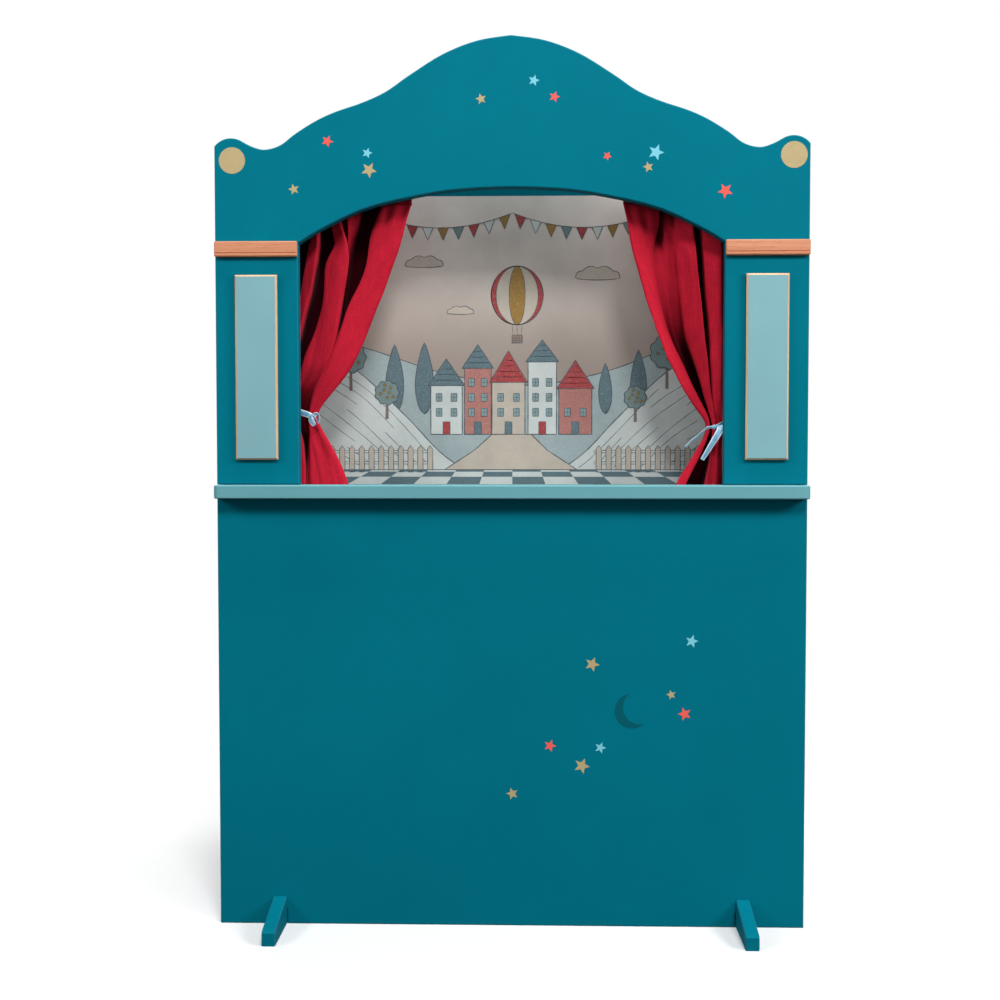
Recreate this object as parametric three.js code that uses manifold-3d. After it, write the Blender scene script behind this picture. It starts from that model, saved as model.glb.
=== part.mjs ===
// A children's puppet theatre that stands on the floor, seen from the audience.
// +X is to the right, +Y to the back, +Z up, and every length is in millimetres.
// Places along Y are worked out from the front face of the boards, and the whole
// group is moved at the end, so that its origin lies under the middle of its box.
import * as THREE from 'three';
import { mergeVertices } from 'three/addons/utils/BufferGeometryUtils.js';
import Module from 'manifold-3d';

const wasm = await Module();
wasm.setup();

// Fits and finish shared by all pieces
const fitGap = 0.3;
const cutOverrun = 1;
const boardThickness = 16;
const edgeEase = 1.2;
const roundSteps = 12;
const arcSteps = 8;
const wireSides = 6;

// Front frame, from the floor up
const frontWidth = 700;
const lowerPanelHeight = 513.2;
const shelfThickness = 16;
const shelfOverhang = 22;
const shelfCornerRadius = 7;
const postWidth = 98.3;
const postHeight = 277.4;

// Header board, its heights taken from its lower edge
const crownHeight = 248.5;
const valleyHeight = 117.3;
const earRadius = 24.7;
const earOverhang = 5.2;
const earCentreDrop = 11.2;
const earEndAngle = Math.PI * 0.66;
const archFootHeight = 7.3;
const archRise = 64.7;
const crownSteps = 60;
const archSteps = 32;

// Mouldings and panels on the front
const trimHeight = 18;
const trimDepth = 6;
const trimCornerRadius = 1.8;
const trimEase = 1.2;
const trimGrooveWidth = 1.2;
const trimGrooveRise = 4;
const decorSideGap = 24.15;
const decorFootGap = 29.5;
const decorHeadGap = 29.9;
const decorDepth = 6;
const decorEase = 2;

// Feet, half-lapped over the lower panel
const footInset = 72.5;
const footFront = 75;
const footBack = 150;
const footHeight = 33.5;
const footEndHeight = 18;
const footLap = 17;
const footTipEase = 3;

// Side wings behind the posts
const wingBelowShelf = 153.5;
const wingHeaderLap = 107.5;
const wingBack = 140;
const wingSweepRise = 120;
const wingSweepRun = 70;
const wingTopRadius = 20;
const sweepSteps = 12;

// Backdrop board, its grooves and the two rails behind it
const backdropThickness = 3;
const backdropDrop = 23.5;
const backdropSideClearance = 1;
const grooveWidth = 4;
const grooveDepth = 6;
const grooveInset = 14;
const bottomRailDrop = 15.5;
const bottomRailHeight = 18;
const bottomRailDepth = 20;
const topRailDrop = 8;
const topRailHeight = 35;
const topRailDepth = 12;
const topRailClearance = 1;
const railEase = 1;

// Curtain rod and its open brackets
const rodRadius = 5;
const rodDrop = 23;
const rodSetback = 38;
const bracketThickness = 8;
const bracketWidth = 26;
const bracketAbove = 8;
const bracketBelow = 24;
const bracketScrewDrop = 13;
const bracketScrewSpread = 12;

// Curtains: the heading slides on the rod, the drop is tied at its waist
const seamDrop = 27.5;
const hemDrop = 1.5;
const clothThickness = 1.5;
const foldDepth = 12;
const steepestShare = 3;
const stepsPerFold = 4;
const headingEndClearance = 1.7;
const pocketClearance = 0.8;
const pocketWall = 2.2;
const pocketGather = 1;
const pocketSteps = 12;
const pocketNeckShare = 0.55;
const pocketSwayShare = 0.4;

// Ribbon ties and the screw eyes that hold them
const ribbonWidth = 9;
const ribbonThickness = 1.6;
const ribbonClearance = 1.5;
const tieKnotRadius = 5;
const tieTailLength = 34;
const tieTailLean = Math.PI / 10;
const eyeRingRadius = 5;
const eyeWireRadius = 1;
const eyeShankDepth = 9;
const eyeNeck = 2;
const ringSteps = 20;

// Dowels, cam fittings and screws
const dowelRadius = 4;
const dowelDepth = 15;
const dowelSpread = 50;
const dowelEase = 1;
const camRadius = 7.5;
const camDepth = 12;
const camSetback = 34;
const camSlotWidth = 1.6;
const camSlotDepth = 2;
const camBoltRadius = 3;
const camBoltDepth = 10;
const camPanelDrop = 70;
const camHeaderRise = 60;
const screwRadius = 2;
const railScrewLength = 45;
const bracketScrewLength = 18;
const screwHeadRadius = 4;
const screwHeadHeight = 2.5;
const screwTipLength = 4;

// Outline of the header from its middle to the valley beside its ear, right half:
// share of half the width, and share of the rise from the valley to the crown
const crownShares = [
  [0, 1], [0.114, 0.953], [0.229, 0.835], [0.343, 0.648], [0.42, 0.508], [0.5, 0.412], [0.589, 0.333],
  [0.657, 0.252], [0.726, 0.139], [0.777, 0.038], [0.829, 0], [0.871, 0.026],
];
// Underside of the arch, right half: share of half the opening, share of the arch's rise
const archShares = [[0, 1], [0.22, 0.967], [0.4, 0.878], [0.68, 0.63], [0.9, 0.235], [1, 0]];

// Rows of a curtain from its seam to its hem: share of the drop's height, then where its leading
// edge hangs as a share of half the opening, where its outer edge hangs as a share of the
// heading's outer end, and last a share of the fold depth
const leftDropShares = [
  [1, 0.48, 0.994, 1], [0.87, 0.534, 0.987, 1.05], [0.68, 0.607, 0.971, 1.05],
  [0.56, 0.69, 0.956, 1], [0.435, 0.777, 0.932, 0.95], [0.325, 0.9, 0.897, 0.75],
  [0.285, 0.957, 0.878, 0.62], [0.25, 0.957, 0.878, 0.62], [0.15, 0.876, 0.886, 0.85], [0, 0.775, 0.901, 1],
];
const rightDropShares = [
  [1, 0.535, 0.994, 0.9], [0.825, 0.592, 0.987, 0.95], [0.7, 0.639, 0.979, 1],
  [0.565, 0.714, 0.956, 1], [0.43, 0.799, 0.932, 0.95], [0.315, 0.884, 0.897, 0.75],
  [0.268, 0.95, 0.878, 0.62], [0.232, 0.95, 0.878, 0.62], [0.143, 0.885, 0.886, 0.85], [0, 0.775, 0.901, 1],
];
const waistRow = 6;
// Where each cloth turns, as shares of its breadth from the outer edge, ridge first
const leftFoldShares = [0, 0.08, 0.17, 0.26, 0.34, 0.41, 0.48, 0.56, 0.67, 0.81, 1];
const rightFoldShares = [0, 0.1, 0.22, 0.32, 0.42, 0.53, 0.64, 0.74, 0.83, 0.92, 1];

// Levels and places worked out from the sizes above
const halfWidth = frontWidth / 2;
const openingHalf = halfWidth - postWidth;
const shelfLevel = lowerPanelHeight + fitGap;
const shelfTop = shelfLevel + shelfThickness;
const postLevel = shelfTop + fitGap;
const headerLevel = postLevel + postHeight + fitGap;
const postCentre = halfWidth - postWidth / 2;
const footPlace = halfWidth - footInset;
const wingBottom = shelfLevel - wingBelowShelf;
const wingTop = headerLevel + wingHeaderLap;
const wingInner = halfWidth - boardThickness;
const wingCentre = halfWidth - boardThickness / 2;
const wingFront = boardThickness + fitGap;
const railHalfLength = wingInner - fitGap;
const rodLevel = wingTop - rodDrop;
const hemLevel = shelfLevel - hemDrop;
const dropHeight = rodLevel - seamDrop - fitGap - hemLevel;
const camLevels = {
  lower: shelfLevel - camPanelDrop,
  middle: postLevel + postHeight / 2,
  upper: headerLevel + camHeaderRise,
};
const grooveBack = wingBack - grooveInset;
const grooveFront = grooveBack - grooveWidth;
const grooveMiddle = grooveBack - grooveWidth / 2;
const bottomRailTop = shelfLevel - bottomRailDrop;
const topRailTop = wingTop - topRailDrop;
const backdropTop = wingTop - backdropDrop;
const topRailFront = grooveBack + topRailClearance;
const bottomRailFront = grooveMiddle - bottomRailDepth / 2;
const railScrewLevels = {
  bottom: bottomRailTop - bottomRailHeight / 2,
  top: topRailTop - topRailHeight / 2,
};
const railScrewSetbacks = {
  bottom: bottomRailFront + bottomRailDepth / 2,
  top: topRailFront + topRailDepth / 2,
};
const bracketFace = railHalfLength - bracketThickness;
const headingOuter = bracketFace - headingEndClearance;
const eyeSetback = boardThickness + eyeNeck + eyeRingRadius + eyeWireRadius;

const stand = new THREE.Group();

function addPiece(name, geometry, finish, x, y, z) {
  const mesh = new THREE.Mesh(geometry, new THREE.MeshStandardMaterial(finish));
  mesh.name = name;
  mesh.position.set(x, y, z);
  stand.add(mesh);
}

// Colours and surfaces
const tealPaint = { color: 0x006f80, roughness: 0.55, metalness: 0 };
const palePaint = { color: 0x74aeb2, roughness: 0.5, metalness: 0 };
const bareWood = { color: 0xd9946a, roughness: 0.6, metalness: 0 };
const rodWood = { color: 0xd8b98c, roughness: 0.6, metalness: 0 };
const printedBoard = { color: 0xb5b0a8, roughness: 0.6, metalness: 0 };
const redCloth = { color: 0xb02038, roughness: 0.85, metalness: 0 };
const blueSatin = { color: 0x9cc4e4, roughness: 0.35, metalness: 0 };
const zincPlate = { color: 0xb9bcc0, roughness: 0.35, metalness: 1 };

// Drawings and solids

function drawing(points) {
  return new THREE.Shape(points.map(([x, y]) => new THREE.Vector2(x, y)));
}

function rectangle(left, bottom, right, top) {
  return drawing([[left, bottom], [right, bottom], [right, top], [left, top]]);
}

// A board with eased edges, drawn in its own XY and from z = 0 to its thickness.
function slab(shape, thickness, ease) {
  const geometry = new THREE.ExtrudeGeometry(shape, {
    depth: thickness - 2 * ease,
    bevelThickness: ease,
    bevelSize: ease,
    bevelOffset: -ease,
    bevelSegments: 1,
    curveSegments: arcSteps,
  });
  return geometry.translate(0, 0, ease);
}

// Turns a slab so that it faces the audience: its front is at Y = 0.
function upright(geometry, thickness) {
  return geometry.rotateX(Math.PI / 2).translate(0, thickness, 0);
}

// Turns a slab so that its drawing's X runs to the back and its thickness along +X.
function sideways(geometry) {
  return geometry.rotateX(Math.PI / 2).rotateZ(Math.PI / 2);
}

function aimAlong(geometry, from, to) {
  const start = new THREE.Vector3(...from);
  const span = new THREE.Vector3(...to).sub(start);
  const turn = new THREE.Quaternion().setFromUnitVectors(new THREE.Vector3(0, 1, 0), span.normalize());
  return geometry.applyQuaternion(turn).translate(start.x, start.y, start.z);
}

function roundBar(radius, from, to, steps = roundSteps) {
  const length = new THREE.Vector3(...from).distanceTo(new THREE.Vector3(...to));
  const bar = new THREE.CylinderGeometry(radius, radius, length, steps).translate(0, length / 2, 0);
  return aimAlong(bar, from, to);
}

function block(low, high) {
  const size = high.map((value, axis) => value - low[axis]);
  const middle = high.map((value, axis) => (value + low[axis]) / 2);
  return new THREE.BoxGeometry(...size).translate(...middle);
}

function solidOf(geometry) {
  const bare = geometry.clone();
  bare.deleteAttribute('normal');
  bare.deleteAttribute('uv');
  const merged = mergeVertices(bare);
  return new wasm.Manifold(new wasm.Mesh({
    numProp: 3,
    vertProperties: new Float32Array(merged.attributes.position.array),
    triVerts: new Uint32Array(merged.index.array),
  }));
}

function geometryOf(solid) {
  const mesh = solid.getMesh();
  const geometry = new THREE.BufferGeometry();
  geometry.setAttribute('position', new THREE.BufferAttribute(mesh.vertProperties, 3));
  geometry.setIndex(new THREE.BufferAttribute(mesh.triVerts, 1));
  geometry.computeVertexNormals();
  return geometry;
}

function carve(geometry, cutters) {
  return geometryOf(cutters.reduce((solid, cutter) => solid.subtract(solidOf(cutter)), solidOf(geometry)));
}

function fuse(geometries) {
  return geometryOf(geometries.map(solidOf).reduce((solid, more) => solid.add(more)));
}

// Bores that a front board needs, in that board's own frame

function dowelBores(level, up, depth = dowelDepth + fitGap) {
  const bores = [];
  for (const side of [-1, 1]) {
    for (const place of [-1, 1]) {
      const x = side * postCentre + place * dowelSpread / 2;
      const start = [x, boardThickness / 2, level - up * cutOverrun];
      const end = [x, boardThickness / 2, level + up * depth];
      bores.push(roundBar(dowelRadius + fitGap, start, end));
    }
  }
  return bores;
}

function camBoltBore(x, level) {
  const start = [x, boardThickness - camBoltDepth - fitGap, level];
  return roundBar(camBoltRadius + fitGap, start, [x, boardThickness + cutOverrun, level]);
}

function lowerPanel() {
  const notchHalf = boardThickness / 2 + fitGap;
  const notchTop = footLap + fitGap;
  const points = [[-halfWidth, 0]];
  for (const side of [-1, 1]) {
    const near = side * footPlace - notchHalf;
    const far = side * footPlace + notchHalf;
    points.push([near, 0], [near, notchTop], [far, notchTop], [far, 0]);
  }
  points.push([halfWidth, 0], [halfWidth, lowerPanelHeight], [-halfWidth, lowerPanelHeight]);
  const board = upright(slab(drawing(points), boardThickness, edgeEase), boardThickness);
  const boltBores = [-1, 1].map((side) => camBoltBore(side * wingCentre, camLevels.lower));
  const panel = carve(board, [...dowelBores(lowerPanelHeight, -1), ...boltBores]);
  addPiece('lower_panel', panel, tealPaint, 0, 0, 0);
}

function shelf() {
  const front = -shelfOverhang;
  const corner = shelfCornerRadius;
  const plan = new THREE.Shape();
  plan.moveTo(-halfWidth, boardThickness);
  plan.lineTo(-halfWidth, front + corner);
  plan.absarc(-halfWidth + corner, front + corner, corner, Math.PI, Math.PI * 1.5);
  plan.lineTo(halfWidth - corner, front);
  plan.absarc(halfWidth - corner, front + corner, corner, -Math.PI / 2, 0);
  plan.lineTo(halfWidth, boardThickness);
  const bores = dowelBores(0, 1, shelfThickness + cutOverrun);
  addPiece('shelf', carve(slab(plan, shelfThickness, edgeEase), bores), palePaint, 0, 0, shelfLevel);
}

function post(name, side) {
  const face = rectangle(-postWidth / 2, 0, postWidth / 2, postHeight);
  const board = upright(slab(face, boardThickness, edgeEase), boardThickness);
  const bores = [camBoltBore(side * (wingCentre - postCentre), camLevels.middle - postLevel)];
  for (const place of [-1, 1]) {
    const x = place * dowelSpread / 2;
    const middle = boardThickness / 2;
    const reach = dowelDepth + fitGap;
    const beyond = postHeight + cutOverrun;
    bores.push(roundBar(dowelRadius + fitGap, [x, middle, -cutOverrun], [x, middle, reach]));
    bores.push(roundBar(dowelRadius + fitGap, [x, middle, postHeight - reach], [x, middle, beyond]));
  }
  const eyeZ = tieLevelOf(side) - postLevel;
  bores.push(roundBar(eyeWireRadius + fitGap, [0, boardThickness - eyeShankDepth - fitGap, eyeZ],
    [0, boardThickness + cutOverrun, eyeZ]));
  addPiece(name, carve(board, bores), tealPaint, side * postCentre, 0, postLevel);
}

// The right half of the header's top, from the ear's outer side to the crown.
function headerTopPoints() {
  const rise = crownHeight - valleyHeight;
  const earInset = earRadius - earOverhang;
  const edgeAngle = Math.acos(earInset / earRadius);
  const ear = new THREE.EllipseCurve(halfWidth - earInset, valleyHeight - earCentreDrop,
    earRadius, earRadius, edgeAngle, earEndAngle).getPoints(arcSteps * 2);
  const crown = crownShares.map(
    ([across, up]) => new THREE.Vector2(across * halfWidth, valleyHeight + up * rise));
  const top = new THREE.SplineCurve([...crown, ear[ear.length - 1]]).getPoints(crownSteps);
  return [...ear.slice(0, -1), ...top.reverse()];
}

function header() {
  const right = headerTopPoints();
  const left = right.slice(0, -1).reverse().map((point) => new THREE.Vector2(-point.x, point.y));
  const arch = new THREE.SplineCurve([
    ...archShares.slice(1).reverse().map(([across, up]) => [-across, up]), ...archShares,
  ].map(([across, up]) => new THREE.Vector2(across * openingHalf, archFootHeight + up * archRise)));
  const shape = new THREE.Shape([
    new THREE.Vector2(halfWidth, 0), ...right, ...left,
    new THREE.Vector2(-halfWidth, 0), new THREE.Vector2(-openingHalf, 0),
    ...arch.getPoints(archSteps), new THREE.Vector2(openingHalf, 0),
  ]);
  const board = upright(slab(shape, boardThickness, edgeEase), boardThickness);
  const boltBores = [-1, 1].map((side) => camBoltBore(side * wingCentre, camLevels.upper - headerLevel));
  addPiece('header', carve(board, [...dowelBores(0, 1), ...boltBores]), tealPaint, 0, 0, headerLevel);
}

function roundedRectangle(width, height, radius) {
  const shape = new THREE.Shape();
  const right = width / 2 - radius;
  const top = height / 2 - radius;
  shape.absarc(right, top, radius, 0, Math.PI / 2);
  shape.absarc(-right, top, radius, Math.PI / 2, Math.PI);
  shape.absarc(-right, -top, radius, Math.PI, Math.PI * 1.5);
  shape.absarc(right, -top, radius, Math.PI * 1.5, Math.PI * 2);
  return shape;
}

// A bare moulding over the joint of post and header, with a fine groove near its lower edge.
function trim(name, side) {
  const bar = upright(slab(roundedRectangle(postWidth, trimHeight, trimCornerRadius), trimDepth, trimEase),
    trimDepth);
  const groove = new THREE.BoxGeometry(postWidth + 2 * cutOverrun, trimGrooveWidth, trimGrooveWidth)
    .rotateX(Math.PI / 4).translate(0, 0, trimGrooveRise - trimHeight / 2);
  const middle = headerLevel + fitGap / 2;
  addPiece(name, carve(bar, [groove]), bareWood, side * postCentre, -trimDepth - fitGap, middle);
}

function decorPanel(name, side) {
  const half = postWidth / 2 - decorSideGap;
  const face = rectangle(-half, decorFootGap, half, postHeight - decorHeadGap);
  const board = upright(slab(face, decorDepth, decorEase), decorDepth);
  addPiece(name, board, palePaint, side * postCentre, -decorDepth - fitGap, postLevel);
}

// A foot seen from the side: highest where it crosses the panel, and slotted from above.
function foot(name, side) {
  const slotFront = -fitGap;
  const slotBack = boardThickness + fitGap;
  const shape = drawing([
    [-footFront, 0], [footBack, 0], [footBack, footEndHeight - footTipEase],
    [footBack - footTipEase, footEndHeight], [slotBack, footHeight], [slotBack, footLap],
    [slotFront, footLap], [slotFront, footHeight], [footTipEase - footFront, footEndHeight],
    [-footFront, footEndHeight - footTipEase],
  ]);
  const board = sideways(slab(shape, boardThickness, edgeEase));
  addPiece(name, board, tealPaint, side * footPlace - boardThickness / 2, 0, 0);
}

function wingOutline() {
  const shape = new THREE.Shape();
  shape.moveTo(wingFront, wingBottom);
  shape.lineTo(wingBack - wingSweepRun, wingBottom);
  const sweep = new THREE.QuadraticBezierCurve(
    new THREE.Vector2(wingBack - wingSweepRun, wingBottom),
    new THREE.Vector2(wingBack, wingBottom),
    new THREE.Vector2(wingBack, wingBottom + wingSweepRise));
  sweep.getPoints(sweepSteps).slice(1).forEach((point) => shape.lineTo(point.x, point.y));
  shape.absarc(wingBack - wingTopRadius, wingTop - wingTopRadius, wingTopRadius, 0, Math.PI / 2);
  shape.lineTo(wingFront, wingTop);
  return shape;
}

function countersink(x, y, z, towards) {
  const cone = new THREE.CylinderGeometry(screwHeadRadius + fitGap, screwRadius + fitGap, screwHeadHeight,
    roundSteps).translate(0, -screwHeadHeight / 2, 0);
  const lip = new THREE.CylinderGeometry(screwHeadRadius + fitGap, screwHeadRadius + fitGap, cutOverrun,
    roundSteps).translate(0, cutOverrun / 2, 0);
  const target = [x + towards, y, z];
  return fuse([aimAlong(cone, [x, y, z], target), aimAlong(lip, [x, y, z], target)]);
}

// A side board behind a post. Its own X runs from its left face to its right one.
function wing(name, side) {
  const inner = side < 0 ? boardThickness : 0;
  const outer = boardThickness - inner;
  const board = sideways(slab(wingOutline(), boardThickness, edgeEase));
  const cutters = [];
  const grooveFaces = [inner - side * cutOverrun, inner + side * grooveDepth].sort((a, b) => a - b);
  cutters.push(block([grooveFaces[0], grooveFront, bottomRailTop],
    [grooveFaces[1], grooveFront + grooveWidth, wingTop + cutOverrun]));
  const middle = boardThickness / 2;
  for (const level of Object.values(camLevels)) {
    const camY = wingFront + camSetback;
    const boltFront = wingFront - cutOverrun;
    cutters.push(roundBar(camRadius + fitGap, [inner - side * cutOverrun, camY, level],
      [inner + side * (camDepth + fitGap), camY, level]));
    cutters.push(roundBar(camBoltRadius + fitGap, [middle, boltFront, level], [middle, camY, level]));
  }
  for (const rail of ['bottom', 'top']) {
    const y = railScrewSetbacks[rail];
    const z = railScrewLevels[rail];
    cutters.push(roundBar(screwRadius + fitGap, [-cutOverrun, y, z], [boardThickness + cutOverrun, y, z]));
    cutters.push(countersink(outer, y, z, side));
  }
  for (const place of [-1, 1]) {
    const y = rodSetback + place * bracketScrewSpread / 2;
    const z = rodLevel - bracketScrewDrop;
    cutters.push(roundBar(screwRadius + fitGap, [inner - side * cutOverrun, y, z],
      [inner + side * (bracketScrewLength - bracketThickness + fitGap), y, z]));
  }
  addPiece(name, carve(board, cutters), tealPaint, side < 0 ? -halfWidth : wingInner, 0, 0);
}

function rail(name, level, front, height, depth) {
  const bar = upright(slab(rectangle(-railHalfLength, 0, railHalfLength, height), depth, railEase), depth);
  const reach = railScrewLength - boardThickness + fitGap;
  const bores = [-1, 1].map((side) => roundBar(screwRadius + fitGap,
    [side * (railHalfLength + cutOverrun), depth / 2, height / 2],
    [side * (railHalfLength - reach), depth / 2, height / 2]));
  addPiece(name, carve(bar, bores), tealPaint, 0, front, level - height);
}

function backdrop() {
  const half = wingInner + grooveDepth - backdropSideClearance;
  const bottom = bottomRailTop + fitGap;
  const face = backdropThickness / 2;
  const board = block([-half, -face, 0], [half, face, backdropTop - bottom]);
  addPiece('backdrop', board, printedBoard, 0, grooveMiddle, bottom);
}

function curtainRod() {
  const half = railHalfLength - fitGap;
  const bar = roundBar(rodRadius, [-half, 0, 0], [half, 0, 0]);
  addPiece('curtain_rod', bar, rodWood, 0, rodSetback, rodLevel);
}

// An open cup that the rod drops into, drawn about the rod's axis.
function rodBracket(name, side) {
  const half = bracketWidth / 2;
  const slot = rodRadius + fitGap;
  const shape = new THREE.Shape();
  shape.moveTo(-half, bracketAbove);
  shape.lineTo(-slot, bracketAbove);
  shape.absarc(0, 0, slot, Math.PI, Math.PI * 2);
  shape.lineTo(slot, bracketAbove);
  shape.lineTo(half, bracketAbove);
  shape.absarc(0, half - bracketBelow, half, 0, -Math.PI, true);
  const plate = sideways(slab(shape, bracketThickness, railEase));
  const face = side < 0 ? bracketThickness : 0;
  const bores = [];
  for (const place of [-1, 1]) {
    const y = place * bracketScrewSpread / 2;
    bores.push(roundBar(screwRadius + fitGap, [-cutOverrun, y, -bracketScrewDrop],
      [bracketThickness + cutOverrun, y, -bracketScrewDrop]));
    bores.push(countersink(face, y, -bracketScrewDrop, -side));
  }
  const x = side < 0 ? -railHalfLength : bracketFace;
  addPiece(name, carve(plate, bores), zincPlate, x, rodSetback, rodLevel);
}

// Curtains

// The tie holds the cloth at the middle of its waist.
function tieLevelOf(side) {
  const { rows } = curtainShape(side);
  return hemLevel + (rows[waistRow][0] + rows[waistRow + 1][0]) / 2 * dropHeight;
}

// Which fold of the cloth a place lies in, how wide that fold is and how far along it the place is.
function foldAt(share, turns) {
  const fold = turns.findLastIndex((turn, index) => turn <= share && index < turns.length - 1);
  const span = turns[fold + 1] - turns[fold];
  return { fold, span, along: (share - turns[fold]) / span };
}

// One at a ridge and minus one at a valley, with a cosine between each two turns of the cloth.
function foldWave(share, turns) {
  const { fold, along } = foldAt(share, turns);
  return (fold % 2 ? -1 : 1) * Math.cos(Math.PI * along);
}

// How much the wave's slope thickens the cloth, measured from front to back.
function foldSpread(share, turns, depth, breadth) {
  const { span, along } = foldAt(share, turns);
  const slope = Math.PI * depth * Math.sin(Math.PI * along) / (span * breadth);
  return Math.min(steepestShare, Math.hypot(1, slope));
}

function foldStations(turns, steps) {
  const stations = [];
  turns.slice(0, -1).forEach((turn, index) => {
    for (let step = 0; step < steps; step += 1) {
      stations.push(turn + (turns[index + 1] - turn) * step / steps);
    }
  });
  return [...stations, 1];
}

// Closes a front and a back sheet of the same grid into one solid.
function sheetSolid(front, back) {
  const rows = front.length;
  const columns = front[0].length;
  const positions = [...front.flat(), ...back.flat()].flat();
  const faces = [];
  const at = (layer, row, column) => (layer * rows + row) * columns + column;
  const quad = (a, b, c, d) => faces.push(a, b, c, a, c, d);
  for (let row = 0; row + 1 < rows; row += 1) {
    for (let column = 0; column + 1 < columns; column += 1) {
      quad(at(0, row, column), at(0, row + 1, column), at(0, row + 1, column + 1), at(0, row, column + 1));
      quad(at(1, row, column), at(1, row, column + 1), at(1, row + 1, column + 1), at(1, row + 1, column));
    }
    const edge = columns - 1;
    quad(at(0, row, 0), at(1, row, 0), at(1, row + 1, 0), at(0, row + 1, 0));
    quad(at(0, row, edge), at(0, row + 1, edge), at(1, row + 1, edge), at(1, row, edge));
  }
  for (let column = 0; column + 1 < columns; column += 1) {
    quad(at(0, 0, column), at(0, 0, column + 1), at(1, 0, column + 1), at(1, 0, column));
    const last = rows - 1;
    quad(at(0, last, column), at(1, last, column), at(1, last, column + 1), at(0, last, column + 1));
  }
  const geometry = new THREE.BufferGeometry();
  geometry.setAttribute('position', new THREE.Float32BufferAttribute(positions, 3));
  geometry.setIndex(faces);
  geometry.computeVertexNormals();
  return geometry;
}

function curtainShape(side) {
  return side < 0
    ? { rows: leftDropShares, turns: leftFoldShares }
    : { rows: rightDropShares, turns: rightFoldShares };
}

// The hanging cloth, as a wave that runs from its outer edge to its leading edge.
function curtainDrop(name, side) {
  const { rows, turns } = curtainShape(side);
  const stations = foldStations(turns, stepsPerFold);
  const ordered = side < 0 ? stations : stations.slice().reverse();
  const sheets = [-1, 1].map((face) => rows.map(([up, leading, outer, fold]) => {
    const breadth = outer * headingOuter - leading * openingHalf;
    const depth = fold * foldDepth;
    return ordered.map((share) => {
      const x = side * (outer * headingOuter - share * breadth);
      const half = clothThickness / 2 * foldSpread(share, turns, depth, breadth);
      return [x, -depth * foldWave(share, turns) + face * half, up * dropHeight];
    });
  }));
  addPiece(name, sheetSolid(sheets[0], sheets[1]), redCloth, 0, rodSetback, hemLevel);
}

// Section of the rod pocket where the cloth's wave has the given value, about the rod's axis:
// round over the rod, then a flat tail that follows the fold down to the seam.
function pocketSection(wave, depth) {
  const radius = rodRadius + pocketClearance + pocketWall + pocketGather * wave / 2;
  const neck = seamDrop * pocketNeckShare;
  const sway = -depth * wave;
  const neckSway = sway * pocketSwayShare;
  const arc = new THREE.EllipseCurve(0, 0, radius, radius, -Math.PI / 3, Math.PI * 4 / 3);
  return [
    ...arc.getPoints(arcSteps).map((point) => [point.x, point.y]),
    [neckSway - clothThickness, -neck], [sway - clothThickness, -seamDrop],
    [sway + clothThickness, -seamDrop], [neckSway + clothThickness, -neck],
  ];
}

// The gathered heading: a pocket that slides on the rod and carries the top of the cloth.
function curtainHeading(name, side) {
  const { rows, turns } = curtainShape(side);
  const [, leading, , fold] = rows[0];
  const inner = leading * openingHalf;
  const breadth = headingOuter - inner;
  const stations = foldStations(turns, stepsPerFold / 2);
  const ordered = side < 0 ? stations : stations.slice().reverse();
  const sections = ordered.map((share) => {
    const x = side * (headingOuter - share * breadth);
    return pocketSection(foldWave(share, turns), fold * foldDepth).map(([y, z]) => [x, y, z]);
  });
  const body = solidOf(loft(sections));
  const bore = roundBar(rodRadius + pocketClearance, [-halfWidth, 0, 0], [halfWidth, 0, 0], pocketSteps);
  addPiece(name, geometryOf(body.subtract(solidOf(bore))), redCloth, 0, rodSetback, rodLevel);
}

// Joins sections of equal point counts, listed along +X, and closes both ends.
function loft(sections) {
  const count = sections[0].length;
  const faces = [];
  for (let ring = 0; ring + 1 < sections.length; ring += 1) {
    for (let point = 0; point < count; point += 1) {
      const next = (point + 1) % count;
      const a = ring * count + point;
      const b = ring * count + next;
      faces.push(a, b, b + count, a, b + count, a + count);
    }
  }
  const capOf = (section) => THREE.ShapeUtils.triangulateShape(
    section.map(([, y, z]) => new THREE.Vector2(y, z)), []);
  const last = (sections.length - 1) * count;
  capOf(sections[0]).forEach(([a, b, c]) => faces.push(a, c, b));
  capOf(sections[sections.length - 1]).forEach(([a, b, c]) => faces.push(last + a, last + b, last + c));
  const geometry = new THREE.BufferGeometry();
  geometry.setAttribute('position', new THREE.Float32BufferAttribute(sections.flat(2), 3));
  geometry.setIndex(faces);
  return geometry;
}

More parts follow.
